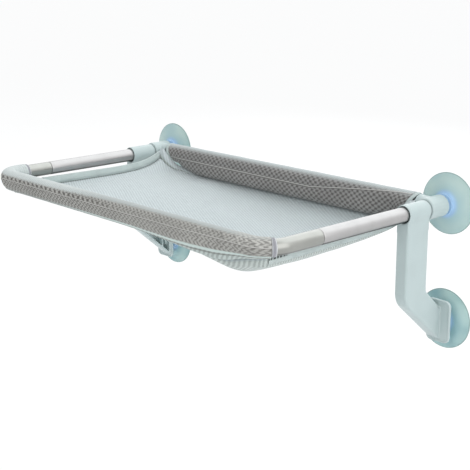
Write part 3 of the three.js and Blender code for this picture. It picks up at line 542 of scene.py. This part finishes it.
def cup_profile():
    """Inside: half the hollow's depth times 1 + cosine of the radius. Back: rises from the rim to the hub by
    the share of the way in to the power 1.6. The neck holds the stud's hole."""
    share = np.linspace(0, 1, 20)
    inside = np.stack([mm(35) * share, mm(2) * (1 + np.cos(math.pi * share))], axis=-1)
    lip = [[mm(39.2), 0.0]]
    rim = arc(mm(39.3, 0.7), mm(0.7), -80, 75)
    back = np.stack([mm(40) + mm(14 - 40) * share, mm(1.4) + mm(8.5 - 1.4) * share**1.6], axis=-1)[1:-1]
    foot = arc(mm(15.2, 9.4), mm(1.2), 250, 180, 4)
    hub = arc(mm(12.6, 10.6), mm(1.4), 0, 90)
    neck = [mm(9.5, 12), mm(9.5, 18.5), mm(3.3, 18.5), mm(3.3, 8.2), mm(0, 8.2)]
    return np.concatenate([inside, lip, rim, back, foot, hub, neck])


def cup_finish(name, centre, deep, thin):
    """Clear soft plastic by the distance from its axis: pale at the rim, deeper towards the hub, and a
    painted highlight of light blue at the hub and a little round it. A slow haze makes it look moulded."""
    material, source = finish(name, ior=1.42, transmission_weight=0.25, coat_weight=0.25, coat_roughness=0.2)
    places = source.node("TexCoord", out="Object")
    to_axis = {"Vector": places, "Location": (-centre[0], 0, -centre[1]), "Scale": (1, 0, 1)}
    centred = source.node("Mapping", {}, to_axis)
    radius = source.node("VectorMath", {"operation": "LENGTH"}, {"Vector": centred}, out="Value")
    haze, skin = noise(places, 26.0, 1.0), noise(places, 900.0, 1.0)
    disc = radius.between(mm(13), mm(33)).mixed(deep, thin)
    hazy = haze.between(0.3, 0.8).mixed(disc, deep)
    rimmed = radius.between(mm(38.4), mm(39.6)).mixed(hazy, rgb(150, 178, 174))
    return feed(
        material,
        # Painted highlight: a light blue glow at the hub and a little round it.
        base_color=radius.between(mm(21), mm(13.5)).mixed(rimmed, rgb(176, 212, 246)),
        roughness=haze * 0.2 + 0.3,
        height=(skin, mm(0.01)),
    )


for side, sign in SIDES:
    for level, centre, body, deep, thin in (
        ("upper", (sign * HALF_SPAN, 0.0), "frame", rgb(178, 210, 214), rgb(206, 228, 224)),
        (
            # Painted shade, in part: the lower cups' darker middle, under the bracket's foot plate.
            "lower", (sign * LOWER_CUP_X, -BRACKET_DROP), f"bracket_{side}",
            rgb(146, 190, 197), rgb(200, 228, 225),
        ),
    ):
        rubber = cup_finish(f"clear_rubber_{level}_{side}", centre, deep, thin)
        cup = turned(f"suction_cup_{level}_{side}", cup_profile(), centre)
        place(cup, body, rubber, "clear_rubber", f"{level}_cup_{side}")

# %% [markdown]
# ## Small metal and hidden pieces
#
# The studs, the screws and the spigots inside the seams keep their CAD solids, because their shapes are
# right. They only get a finish.

# %% Finishes for the solids that stay
for side, _ in SIDES:
    for kind in ("upper_stud", "lower_stud", "side_rail_screw", "rear_rail_screw", "rail_spigot"):
        material = black_plastic if kind == "rail_spigot" else zinc_steel
        wear(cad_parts[f"{kind}_{side}"], material)
        print(f"{kind}_{side}", "wears", material.name)

# %% [markdown]
# ## The mesh cloth
#
# The borders are sewn from a coarse open mesh: dark cells between light yarns. A wave along the cloth times a
# wave across it is high in every other cell. Shifting the first wave to and fro with the second makes the
# cells lean left and right by turns, as a knitted herringbone does. Light falls through the top of the
# sleeves, so there the mesh is painted pale: a pale ribbed web that is painted light.
#
# Each piece of cloth carries a flat map of itself in metres. On the front sleeve the map's height is the
# angle round the rail times 12 mm, so its seam and its hem have their places in degrees, and both climb
# towards the right. The rear sleeve has a long tail, so its map takes the true length round the cloth, which
# keeps the cells as tall there as elsewhere.

# %% Lines on the front sleeve, and what each finish of cloth starts from
SLEEVE_MAP = mm(12)
SEAM_LINE = (6.0, 6.0, *mm(130, 200))
HEM_LINE = (-62.0, 16.0, *mm(60, 220))


def smooth(value, low, high):
    """0 below low, 1 above high, and a smooth rise between them, of an array or of a Signal."""
    if isinstance(value, Signal):
        return value.between(low, high)
    share = np.clip((value - low) / (high - low), 0, 1)
    return share * share * (3 - 2 * share)


def climbing(line, distance):
    """The angle in degrees of a line on the front sleeve: its start, plus its climb between two distances."""
    start, climb, low, high = line
    return smooth(distance, low, high) * climb + start


def cloth_finish(name, sheen_roughness=0.6, specular=0.2):
    """A soft new finish, the cloth's map and that map's two coordinates: along the cloth and across it."""
    material, source = finish(
        name, sheen_weight=0.2, sheen_roughness=sheen_roughness, specular_ior_level=specular
    )
    cloth = source.node("TexCoord", out="UV")
    return material, cloth, part(cloth, 0), part(cloth, 1)


print("the hem lies", climbing(HEM_LINE, 0.0), "degrees round at the middle")

# %% [markdown]
# Two things are seen on the front border alone. Below its pale top, a painted light, runs one row of coarse
# slanting holes whose dark is partly painted shade, and its lower edge is rolled into a smooth hem, under
# which the mesh turns into diagonal ribs.

# %% The front's coarse row and its hem


def coarse_row(sunk, along, across, turn, wander):
    """One wave of long slanting holes, 20 degrees up, that dies out towards the right. Their strong dark is
    partly real and partly painted shade, where the light grazes the sleeve.
    """
    length = mm(10.6)
    inside = turn.between(9.5, 16.5) * turn.between(30.5, 23.5)
    inside = inside * (along.between(mm(50), mm(-60)) * 0.8 + 0.2)
    # Partly painted shade: the row's holes are darker than the rest of the mesh, where the light grazes.
    holes = (along + across * 0.6 + wander * (0.4 * length)).wave(length).between(-0.6, 0.6)
    return sunk * (1.0 - inside) + holes * inside * 1.2


def hemmed(colour, height, hollow, along, across, turn, wander):
    """Colour and height with the hem: smooth tape below its line, then a painted shade in its crease, and
    slanting ribs.
    """
    below = turn - climbing(HEM_LINE, along)
    hem = below.between(0.0, -4.0)
    tape = along.between(mm(-200), mm(40)).mixed(rgb(150, 152, 149), rgb(202, 216, 212))
    ribs = ((along * 0.45 - across * 0.9 + wander * mm(2)).wave(mm(3.4)) + wander * 2.0).between(-0.9, 1.0)
    # Painted shade: a dark line in the crease under the hem.
    crease_shade = abs(below + 10.0).between(3.5, 1.0) * 0.6
    web = rgb(190, 200, 196)
    under = crease_shade.mixed(ribs.mixed(web, darker(web, 0.66)), hollow)
    colour = hem.mixed(colour, below.between(-6.0, -8.5).mixed(tape, under))
    return colour, height * (1.0 - hem) + hem * (along.wave(mm(1.6)) * 0.15 + 1.0)


# %% [markdown]
# The mesh itself serves both borders. On the front it also changes along the rail, as the photograph shows:
# the cells get uneven and shallow towards the right, the painted light of the pale top reaches further down
# at the left and is dimmed by painted shade towards the right, and the yarns are bold at the near corner.

# %% A knitted mesh from crossed waves


def border_finish(name, cell, row, lean, hollow, thread, pale, light_angles, seam_at, front=False):
    """Cells: a wave along, leaning by that share of a row, times a wave across. The two angles given for the
    light are those between which the mesh turns into the pale web, a painted light. Seam: a light line over
    a painted shade line in its groove, at an angle by place along."""
    material, cloth, along, across = cloth_finish(name)
    wander, patches = noise(cloth, 260.0, 2.0) - 0.5, noise(cloth, 14.0, 3.0)
    turn = across * math.degrees(1 / SLEEVE_MAP)
    rough, rising, calm, dim = 1.2, 0.0, 0.0, 0.25
    if front:
        rough = along.between(mm(60), mm(220)) * 2.6 + rough
        rising = along.between(mm(-150), mm(70)) * 26.0
        calm = along.between(mm(-120), mm(120)) * 0.3
        dim = along.between(mm(-130), mm(30)) * 0.9 + dim
    leaning = along + across.wave(2 * row, math.pi / 2) * (lean * row) + wander * (0.45 * cell)
    strands = (along + across * 0.6).wave(mm(1.1)) * (along * -0.6 + across).wave(mm(1.4))
    sunk = (leaning.wave(cell) * across.wave(2 * row) + strands * 0.3 + wander * rough).between(-0.7, 0.8)
    # Painted light: the top of the sleeve is painted pale, where light falls through the mesh.
    painted_light = (turn - rising + wander * 30.0).between(*light_angles)
    light = patches.between(0.35, 0.75).mixed(thread, darker(thread, 0.88))
    if front:
        sunk = coarse_row(sunk, along, across, turn, wander)
        bold = along.between(mm(205), mm(240)) * turn.between(4, 10)
        painted_light = painted_light * (1.0 - bold * 0.7)
        light = (bold * (strands * 0.5 + 0.6)).mixed(light, rgb(206, 205, 200))
    sunk = sunk * (1.0 - painted_light) * (1.0 - calm)
    # Painted shade: dim darkens the pale web, more towards the right of the front.
    web = (along.wave(mm(3.8)) * 0.25 + wander * 0.8 + dim).mixed(pale, darker(pale, 0.66))
    from_seam = turn - seam_at(along)
    # Painted shade: a dark line in the seam's groove, under its light ridge.
    ridge, seam_shade = abs(from_seam).between(3.0, 1.0), abs(from_seam + 5.0).between(3.5, 1.0) * 0.8
    colour = seam_shade.mixed(painted_light.mixed(sunk.mixed(light, hollow), web), hollow)
    colour = ridge.mixed(colour, rgb(204, 202, 198))
    height = 1.0 - sunk + ridge * 0.8
    if front:
        colour, height = hemmed(colour, height, hollow, along, across, turn, wander)
    return feed(material, base_color=colour, roughness=sunk * 0.08 + 0.86, height=(height, mm(0.4)))


grey_mesh = border_finish(
    "grey_mesh", mm(7.2), mm(3.1), 0.4, rgb(97, 95, 91), rgb(177, 176, 171), rgb(204, 211, 210),
    light_angles=(24, 46), seam_at=lambda along: climbing(SEAM_LINE, along), front=True,
)
rear_mesh = border_finish(
    "rear_mesh", mm(9.4), mm(3.6), 0.12, rgb(96, 93, 91), rgb(156, 154, 152), rgb(184, 192, 192),
    light_angles=(42, 96), seam_at=lambda along: (along.math("MAXIMUM", along, mm(70)) - mm(70)) * 576.0 - 17.0,
)
print("mesh of the borders:", grey_mesh.name, rear_mesh.name)

# %% [markdown]
# The bed's mesh is finer and paler. It is seen from above against the light and from below in its own shade,
# so the way that its surface faces picks between two colours.

# %% The bed's ribbed mesh


def bed_finish(name, rib, inside, outside):
    """A wave for the ribs and a finer crossed pair for the yarns. The two colours are for the face that looks
    up and the face that looks down, each darker in the hollows."""
    material, cloth, along, across = cloth_finish(name)
    upward = part(cloth.node("TexCoord", out="Normal"), 2).between(-0.1, 0.3)
    wander, patches = noise(cloth, 320.0, 2.0) - 0.5, noise(cloth, 12.0, 3.0)
    yarns = along.wave(mm(1.7)) * across.wave(mm(1.5))
    hollow = ((along * 0.45 + across * 0.9 + wander * (0.5 * rib)).wave(rib) + yarns * 0.4).between(-0.8, 1.1)
    colour, dark = upward.mixed(outside, inside), upward.mixed(darker(outside, 0.7), darker(inside, 0.84))
    worn = patches.between(0.3, 0.8).mixed(colour, hollow.mixed(colour, dark))
    return feed(
        material,
        base_color=hollow.mixed(worn, dark),
        roughness=hollow * 0.08 + 0.86,
        height=(1.0 - hollow, mm(0.25)),
    )


pale_mesh = bed_finish("pale_mesh", mm(3.8), rgb(200, 209, 211), rgb(198, 206, 202))
print("mesh of the bed:", pale_mesh.name)

# %% [markdown]
# Tape is a dense ribbed weave, with fine waves across it. The grey bands at the ends of the front sleeve have
# pale rims. At the near corner a broken shadow lies along the binding's fold, with pale stitches under it.

# %% Woven tape


def tape_finish(name, colour, rib, marked=0.0, rims=None):
    """Dense weave: ribs by a fine wave along the tape, a crossing wave for the yarns, slow patches of colour.
    Marked is how far the broken shadow runs along the fold from its start. Rims are the two places across a
    band outside of which it is paler."""
    material, cloth, along, across = cloth_finish(name, 0.5, 0.25)
    patches = noise(cloth, 60.0, 3.0)
    ribs = along.wave(rib) * 0.5 + across.wave(rib * 0.8) * along.wave(rib * 2) * 0.5
    woven = (ribs * 0.35 + patches).between(0.1, 0.9).mixed(darker(colour, 0.8), colour)
    if rims:
        low, high = rims
        outside = across.between(low, low * 0.6) + across.between(high, high * 1.1)
        woven = outside.mixed(woven, rgb(204, 206, 208))
    if marked:
        start = along.between(marked, marked * 0.85)
        dots = (along.wave(mm(2.1)) * across.wave(mm(1.9))).between(0.0, 0.6) * across.between(mm(18), mm(19))
        # Painted shadow: broken dark gaps along the fold at the near corner.
        shadow_breaks = (along.wave(mm(5.2)) + along.wave(mm(3.3)) * 0.6).between(1.1, 0.1) * 0.9
        shadow = across.between(mm(13), mm(14)) * across.between(mm(19.5), mm(18)) * shadow_breaks
        woven = (dots * start * 0.6).mixed(woven, rgb(232, 236, 230))
        woven = (shadow * start).mixed(woven, rgb(40, 44, 42))
    return feed(material, base_color=woven, roughness=patches * 0.1 + 0.72, height=(ribs, mm(0.12)))


pale_tape = tape_finish("pale_tape", rgb(205, 217, 215), mm(0.9))
marked_tape = tape_finish("binding_tape", rgb(205, 217, 215), mm(0.9), marked=mm(36))
grey_tape = tape_finish("grey_tape", rgb(166, 166, 173), mm(0.8), rims=mm(2.2, 6))
thread = tape_finish("sewing_thread", rgb(214, 208, 204), mm(0.6))
print("tapes:", pale_tape.name, marked_tape.name, grey_tape.name, thread.name)

# %% [markdown]
# ## The front border
#
# The border is a sleeve round the front rail that hangs deeper below it. Its surface has two parameters: the
# distance along the rail, and the angle round it. The radius is the bare sleeve's, plus a tail towards the
# ground that fades out at both ends. Inside each bend the cloth is too long and gathers in small pleats.

# %% Sleeve radii and small wrinkles


def ripple(u, v, seed, lengths, height):
    """Gentle unevenness: a sum of waves with seeded directions and phases, each of its own length."""
    dice = np.random.default_rng(seed)
    total = 0
    for length in lengths:
        turn, phase = dice.uniform(0, math.pi), dice.uniform(0, 2 * math.pi, 2)
        a = 2 * math.pi * (u * math.cos(turn) + v * math.sin(turn)) / length
        b = 2 * math.pi * (v * math.cos(turn) - u * math.sin(turn)) / length
        total = total + np.cos(a + phase[0]) * np.cos(b + phase[1])
    return height * total / len(lengths)


def tailed(angle, radius, tail, lean, sharpness):
    """Radius plus a tail times the cosine of the angle from its lean, to a power, where that is positive."""
    return radius + tail * np.maximum(0, np.cos(angle - math.radians(lean))) ** sharpness


def front_tail(distance):
    """The tail's depth: 5 mm at the left end growing by 2.2 to the right, plus 7.1 more in a bell 85 mm wide
    where the bed pulls, and all of it fading out towards both ends."""
    even = mm(5) + mm(2.2) * (distance + STRAIGHT_HALF) / (2 * STRAIGHT_HALF)
    pull = mm(7.1) * np.exp(-(((distance - mm(178)) / mm(85)) ** 2))
    right = smooth(STRAIGHT_HALF + NEAR_END - distance, 0, mm(75))
    left = smooth(STRAIGHT_HALF + FAR_END + distance, 0, mm(40))
    return (even + pull) * right * left


def front_radius(distance, angle):
    """The front sleeve: the round sleeve with its tail downwards."""
    return tailed(angle, SLEEVE, front_tail(distance), -92, 3)


def rear_radius(x, angle):
    """The rear sleeve: a loose round with a sharp tail of 13 mm that drops and leans into the bed."""
    return tailed(angle, LOOSE_SLEEVE, mm(13) * smooth(REAR_HALF - np.abs(x), 0, mm(80)), -66, 5)


def sleeve(border, grid, distances, around, material):
    """A border's cloth from its grid, with a flat map of the distances along it and the places round it."""
    cloth = np.stack(np.broadcast_arrays(distances[:, None], around), axis=-1)
    made = thicken(grid_object(f"{border}_cloth", grid, closed_columns=True, cloth=cloth), mm(0.9))
    return place(made, "frame", material, "grey_mesh", border)


def travelled(points):
    """The length of a line of points up to each of them, by adding the steps between neighbours."""
    steps = np.linalg.norm(np.diff(points, axis=0), axis=-1)
    return np.concatenate([np.zeros((1, *steps.shape[1:])), np.cumsum(steps, axis=0)])


def girth(grid):
    """The length round each ring of a sleeve, from the underside's start, less its value halfway round."""
    closed = np.concatenate([grid, grid[:, :1]], axis=1)
    around = travelled(closed.swapaxes(0, 1)).T
    return around - around[:, grid.shape[1] // 2][:, None]


print("front sleeve is", round(front_radius(0.0, np.radians(-92)) * 1000, 1), "mm deep")

# %% [markdown]
# The seam is pressed in as a groove, and the lower edge is rolled outwards with a groove above it. The finish
# draws both at the same angles, with painted shade in the seam's groove.

# %% The front border with its seam groove, its hem and pleats
AROUND = 144
round_angle = math.pi * (2 * np.arange(AROUND) / AROUND - 1)


def groove(angle, at, radius, width):
    """A narrow bell round one angle, that wide in metres."""
    return np.exp(-(((angle - at) * radius / width) ** 2))


front_distances = np.linspace(-(STRAIGHT_HALF + FAR_END), STRAIGHT_HALF + NEAR_END, 420)
distance, angle = front_distances[:, None], round_angle[None, :]
bend = smooth(np.abs(distance), STRAIGHT_HALF - mm(12), STRAIGHT_HALF + mm(4))
inner_side = np.maximum(0, -np.cos(angle)) ** 1.5
pleats = bend * inner_side * (0.5 + 0.5 * np.cos(2 * math.pi * distance / mm(5.2) + 2 * np.sin(3 * angle)))
seam, hem = climbing(SEAM_LINE, distance), climbing(HEM_LINE, distance)
roll = smooth(np.degrees(angle), -84, -74) * smooth(hem - np.degrees(angle), 1, 9)
radii = (
    front_radius(distance, angle)
    - mm(0.5) * groove(angle, np.radians(seam) - 0.08, SLEEVE, mm(0.9))
    - mm(0.6) * groove(angle, np.radians(hem - 1), SLEEVE, mm(0.8))
    + mm(0.7) * roll
    + mm(0.9) * pleats
    + ripple(distance, angle * SLEEVE, 3, mm(60, 36, 90, 25), mm(0.22))
)
front_grid = rings(front_line, front_distances, radii, AROUND, -math.pi)
around = SLEEVE_MAP * np.linspace(-math.pi, math.pi, AROUND + 1)
front_border = sleeve("front_border", front_grid, front_distances, around, grey_mesh)

# %% [markdown]
# ## The rear border
#
# The rear sleeve is looser, and its long tail is the bed's rear wall. Its ends are cut on the slant, because
# the cloth is pulled towards the corners.

# %% The rear border
SLANT = mm(9)


def slanted(angle):
    """How far the slant pulls each place round the rail: 1 minus the cosine of its angle from 80 degrees."""
    return 1 - np.cos(angle - math.radians(80))


rear_x = np.linspace(REAR_HALF, -REAR_HALF, 260)
x = rear_x[:, None]
radii = rear_radius(x, angle) + ripple(x, angle * LOOSE_SLEEVE, 5, mm(70, 45, 110), mm(0.3))
rear_grid = rings(rear_line, rear_x, radii, AROUND, -math.pi)
near_end = smooth(np.abs(x), REAR_HALF - mm(34), REAR_HALF)
rear_grid[..., 0] -= np.sign(x) * near_end * SLANT * slanted(angle)
rear_border = sleeve("rear_border", rear_grid, rear_x, girth(rear_grid), rear_mesh)

# %% [markdown]
# ## The bed
#
# The bed is one panel that hangs from both borders, with a bowl like a cushion turned upside down and an
# upright strip at each side. Across runs from -1 to 1 and along from 0 at the front to 1 at the rear.

# %% The bed's surface
BED_HALF, BED_WALL, BED_THICK, FIT = mm(250, 11.5, 1.4, 0.3)
SAG, FOLDS, TUCK = mm(31.5, 3, 1.5)
SKEW = 0.39
WALL_COLUMN = 1 - BED_WALL / BED_HALF


def lowest_of_front(distance):
    """How far the front sleeve reaches below the rail's axis, at each distance."""
    under = np.linspace(-math.pi, 0, 61)
    return (front_radius(distance[..., None], under) * np.sin(under)).min(axis=-1)


def bed_surface(across, along):
    """Front edge: under the front sleeve, 3.5 mm inside the rail's axis. Rear edge: on the rear sleeve,
    rising at the corners. Between them straight lines in plan, whose height changes late, by along to a power
    of 4 to 10. A bowl is taken from it: 1 minus the square of across, skewed to one side, times the arch of
    along. Near the sides the upright wall is taken too, and shallow folds fan out of the corners."""
    inner = np.clip(across / WALL_COLUMN, -1, 1)
    distance = STRAIGHT_HALF * inner + np.where(inner > 0, mm(20), mm(49)) * inner
    points, outward = front_line(distance)
    front = points - outward * mm(3.5)
    front[..., 2] = lowest_of_front(distance) - FIT - BED_THICK / 2
    x = BED_HALF * inner
    rise = smooth(np.abs(inner), 0.82, 1.0)
    angle = np.radians(-84 + (30 + 84) * rise)
    radius = rear_radius(np.clip(x, -REAR_HALF, REAR_HALF), angle) + FIT + BED_THICK / 2 + mm(1) * rise
    rear = np.stack([x, -(REAR_REACH + radius * np.cos(angle)), radius * np.sin(angle)], axis=-1)
    point = front + (rear - front) * along[..., None]
    point[..., 2] = front[..., 2] + (rear[..., 2] - front[..., 2]) * along ** (4 + 6 * np.abs(inner) ** 8)
    from_end = np.minimum(along / 0.012, (1 - along) / 0.03)
    strip = np.minimum((1 - np.abs(across)) / (1 - WALL_COLUMN), 1)
    wall = np.clip(from_end, 0.1, 1) * strip * np.abs(inner) ** 6
    deep = along**0.67
    front_power = 1.9 + (0.72 - 1.9) * smooth(inner, 0.39, 0.83)
    power = front_power + (0.5 - front_power) * smooth(along, 0.4, 0.8)
    skewed = inner - SKEW * (1 - inner**2)
    bowl = np.maximum(1 - skewed**2, 0) ** 0.69 * np.maximum(4 * deep * (1 - deep), 0) ** power
    fan = np.cos(6 * np.arctan2(1 - np.abs(inner), np.minimum(along, 1 - along) + 0.012))
    point[..., 0] -= np.sign(inner) * TUCK * wall
    point[..., 2] -= BED_WALL * wall + SAG * bowl + FOLDS * fan * bowl * (1 - bowl)
    return point


def crowded(count, low, high):
    """Places between two ends, closer together towards them: half of 1 minus a cosine."""
    return low + (high - low) * (1 - np.cos(math.pi * np.arange(count) / (count - 1))) / 2


walls = np.linspace(-1, -WALL_COLUMN, 6)[:-1], np.linspace(WALL_COLUMN, 1, 6)[1:]
across_places = np.concatenate([walls[0], crowded(150, -WALL_COLUMN, WALL_COLUMN), walls[1]])
along_places = np.concatenate([[0, 0.006], crowded(110, 0.012, 0.97), [0.985, 1.0]])
ACROSS, ALONG = np.meshgrid(across_places, along_places)
bed_grid = bed_surface(ACROSS, ALONG)
slack = (1 - np.abs(ACROSS) ** 8) * np.minimum(ALONG / 0.05, 1) * np.minimum((1 - ALONG) / 0.06, 1)
bed_grid[..., 2] += slack * ripple(bed_grid[..., 0], bed_grid[..., 1], 11, mm(130, 80, 55, 170), mm(1.0))
bed = thicken(grid_object("bed_cloth", bed_grid, cloth=bed_grid[..., :2], flip=True), mm(1.2), 0)
place(bed, "frame", pale_mesh, "pale_mesh", "bed_panel")

# %% [markdown]
# ## Bindings and hems
#
# A tape is folded over each free side of the bed, and tape bands close the ends of both sleeves.

# %% Folded tapes along the bed's sides


def binding(name, side):
    """A folded section, open downwards, carried along the bed's edge and closed to a point at both ends: down
    follows the upright strip, and the normal is square to the strip and to the edge's course."""
    along = crowded(90, 0.012, 0.97)
    edge = bed_surface(np.full_like(along, side), along)
    down = unit(bed_surface(np.full_like(along, side * WALL_COLUMN), along) - edge)
    normal = unit(np.cross(down, np.gradient(edge, axis=0)))
    slot, wall, depth = mm(0.95, 0.8, 10)
    outer = slot + wall
    fold = arc((0, 0), 1, 180, 0, 9) * (outer, mm(-1.0))
    outside = [[-outer, depth], [-outer, depth / 2], *fold, [outer, depth / 2], [outer, depth]]
    inside = [[slot, depth], [slot, depth / 2], [slot, mm(-0.3)]]
    inside += [[-slot, down_at] for _, down_at in inside[::-1]]
    section = np.array([*outside, *inside])
    grid = edge[:, None] + section[:, 1, None] * down[:, None] + section[:, 0, None] * normal[:, None]
    first, last = (np.broadcast_to(grid[k].mean(axis=0), grid[:1].shape) for k in (0, -1))
    grid = np.concatenate([first, grid, last])
    around, length = travelled(np.concatenate([section, section[:1]])), travelled(grid).mean(axis=1)
    cloth = np.stack(np.meshgrid(around, length), axis=-1)[..., ::-1]
    return weld(grid_object(name, grid, closed_columns=True, cloth=cloth))


for side, sign in SIDES:
    tape = binding(f"side_binding_tape_{side}", sign)
    place(tape, "frame", marked_tape, "pale_tape", f"side_binding_{side}")

# %% Tape bands at the ends of the sleeves
BAND_SIDES, BAND_STEPS = 96, 9


def band(name, line, start, width, radius, bulge, inner, slant=0.0):
    """Rings that run out along the line at the outer radius and back at the inner one. The outer radius grows
    by the bulge times a power of the sine, which makes round shoulders."""
    distances = np.linspace(start, start + width, BAND_STEPS)
    shoulders = np.sin(np.linspace(0.12, math.pi - 0.12, BAND_STEPS)) ** 0.35
    out = rings(line, distances, radius + bulge * shoulders, BAND_SIDES)
    back = rings(line, distances[::-1], np.full(BAND_STEPS, inner), BAND_SIDES)
    grid = np.concatenate([out, back])
    grid[..., 0] -= slant * slanted(round_turn(BAND_SIDES))
    rounds = np.arange(len(grid) + 1) * mm(1.0)
    cloth = np.stack(np.meshgrid(np.arange(BAND_SIDES + 1) * mm(0.7), rounds), axis=-1)
    return grid_object(name, grid, True, True, cloth)


FRONT_BAND, REAR_BAND, REAR_BORE = mm(4.5, 6, 12.6)
starts = STRAIGHT_HALF + NEAR_END + FIT, -(STRAIGHT_HALF + FAR_END + FIT + FRONT_BAND)
for (side, _), start in zip(SIDES, starts):
    tape = band(f"front_hem_tape_{side}", front_line, start, FRONT_BAND, mm(10.1), mm(0.9), BORE)
    place(tape, "frame", grey_tape, "grey_tape", f"front_hem_{side}")
for side, sign in SIDES:
    start, width, slant = sign * (REAR_HALF + FIT), sign * REAR_BAND, sign * SLANT
    tape = band(f"rear_hem_tape_{side}", rear_line, start, width, mm(13), mm(1.3), REAR_BORE, slant)
    place(tape, "frame", pale_tape, "pale_tape", f"rear_hem_{side}")

# %% [markdown]
# ## Stitches
#
# A row of topstitching is a line of short threads. Each stitch is a small arched capsule; all of them go into
# one mesh. The row follows the seam's line on the border, just above its groove.

# %% Rows of thread


RING = 6


def stitches(name, centre, normal, pitch, length, radius, lift):
    """Place arched stitches at equal steps along a line of points: six rings of six points each, thin at both
    ends, whose middle stands proud along the surface's normal. Two faces close each end."""
    steps = travelled(centre)
    count = int(steps[-1] / pitch)
    share = np.linspace(-0.5, 0.5, RING)
    at = (np.arange(count)[:, None] + 0.5) * pitch + share * length
    spine = np.stack([np.interp(at, steps, centre[:, k]) for k in range(3)], axis=-1)
    out = unit(np.stack([np.interp(at, steps, normal[:, k]) for k in range(3)], axis=-1))
    beside = np.cross(unit(np.gradient(spine, axis=1)), out)
    spine = spine + out * (lift * np.cos(math.pi * share) - radius * 0.6)[:, None]
    thick = (radius * np.sqrt(np.maximum(1 - (2 * share) ** 4, 0.02)))[:, None, None]
    angle = round_turn(RING)[:, None]
    ring = spine[:, :, None] + thick * (np.cos(angle) * out[:, :, None] + np.sin(angle) * beside[:, :, None])
    caps = np.array([[0, 1, 2, 3], [3, 4, 5, 0], [33, 32, 31, 30], [30, 35, 34, 33]])
    shell = np.concatenate([grid_faces(RING, RING, closed_columns=True), caps])
    if enclosed(ring[0].reshape(-1, 3), shell) < 0:
        shell = shell[:, ::-1]
    faces = (shell + RING**2 * np.arange(count)[:, None, None]).reshape(-1, 4)
    return new_object(name, ring.reshape(-1, 3), faces, np.zeros((len(faces), 4, 2)))


def seam_on_front():
    """The seam's line on the front sleeve, with its outward normals."""
    distances = np.linspace(-(STRAIGHT_HALF + FAR_END - mm(3)), STRAIGHT_HALF + NEAR_END - mm(2), 500)
    points, outward = front_line(distances)
    angle = np.radians(climbing(SEAM_LINE, distances))
    normal = outward * np.cos(angle)[:, None] + UP * np.sin(angle)[:, None]
    return points + normal * front_radius(distances, angle)[:, None], normal


row = stitches("front_seam_stitches", *seam_on_front(), mm(3.6), mm(3.1), mm(0.4), mm(0.3))
place(row, "frame", thread, "grey_tape")

# %% [markdown]
# ## What is cloth
#
# The two borders and the bed are the sheets of cloth. The bed is longer and wider than its frame, so it
# sags. The hems, tapes and stitches go with the cloth that they are sewn to.

print("three sheets of cloth")

# %% [markdown]
# ## Light, floor and backdrop
#
# The photograph is lit by a bright window behind and above the frame, with soft light from the room. A large
# lamp stands in for the window, a second one fills from the right, and a plain world lights the rest. The
# floor is pale and plain. Rays that come from the camera, straight or by way of metal or glass, see the world
# and the floor almost white, but the floor still takes a soft shadow.

# %% Lamps and world


def lamp(name, place_at, target, width, power, colour):
    """A square area lamp that looks at a point."""
    light = bpy.data.lights.new(name, "AREA")
    light.size, light.energy, light.color = width, power, colour
    made = in_scene(name, light)
    made.location = place_at
    made.rotation_euler = (Vector(target) - Vector(place_at)).to_track_quat("-Z", "Y").to_euler()


def backdrop_rays(source):
    """1 for a ray from the camera, straight or by way of metal or glass; 0 for one that lights the object."""
    straight, mirrored, through = (
        source.node("LightPath", out=f"Is {kind} Ray") for kind in ("Camera", "Glossy", "Transmission")
    )
    return source.math("MINIMUM", straight + mirrored + through, 1.0)


lamp("window_light", (-0.3, 1.7, 1.6), (0, -0.15, 0), 4.3, 58, (0.95, 0.99, 1.0))
lamp("side_fill", (2.2, -0.2, 0.9), (0, -0.15, -0.05), 2.4, 20, (1.0, 1.0, 1.0))
lamp("front_fill", (0.6, -2.2, 1.2), (0, -0.15, 0), 1.6, 10, (1.0, 0.99, 0.98))

world = bpy.data.worlds.new("world")
bpy.context.scene.world = world
world.use_nodes = True
sky = Signal(world.node_tree)
upward = part(sky.node("TexCoord", out="Generated"), 2)
greys = [
    (0.0, (0.46, 0.48, 0.5)), (0.46, (0.44, 0.44, 0.45)),
    (0.56, (0.58, 0.59, 0.6)), (1.0, (0.86, 0.88, 0.89)),
]
tone = sky.node("ValToRGB", {"stops": greys}, {0: upward * 0.5 + 0.5})
background = world.node_tree.nodes["Background"]
plug(background.inputs["Color"], backdrop_rays(sky).mixed(tone, (1.1, 1.1, 1.1)))
plug(background.inputs["Strength"], 0.92)
print("lamps:", [light.name for light in bpy.data.lights])

# %% Floor
size, height = 40.0, -0.5
corners = np.array([[x, y, height] for x, y in ((-size, -size), (size, -size), (size, size), (-size, size))])
floor = new_object("floor", corners, np.array([[0, 1, 2, 3]]))
floor_material, source = finish("pale_floor", roughness=0.7, base_color=(0.86, 0.87, 0.88, 1))
tree = floor_material.node_tree
lit = Signal(tree, tree.nodes["Principled BSDF"].outputs[0])
glow = source.node("Emission", {}, {"Strength": 1.05})
blend = source.node("MixShader", {}, {0: backdrop_rays(source) * 0.8, 1: lit, 2: glow})
plug(tree.nodes["Material Output"].inputs["Surface"], blend)
wear(floor, floor_material)
floor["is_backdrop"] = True
print("floor at", height)

# %% [markdown]
# ## The size of the dressed model
#
# The dressed model's box is worked out and printed beside the CAD model's box. The dressed model has to
# stay within the CAD model's box, apart from a little that cloth may stand proud.

# %% Print both boxes
shown_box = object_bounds()
boxes = {"cad": [list(corner) for corner in cad_box], "shown": [list(corner) for corner in shown_box]}
print("cad box", boxes["cad"], "shown box", boxes["shown"])
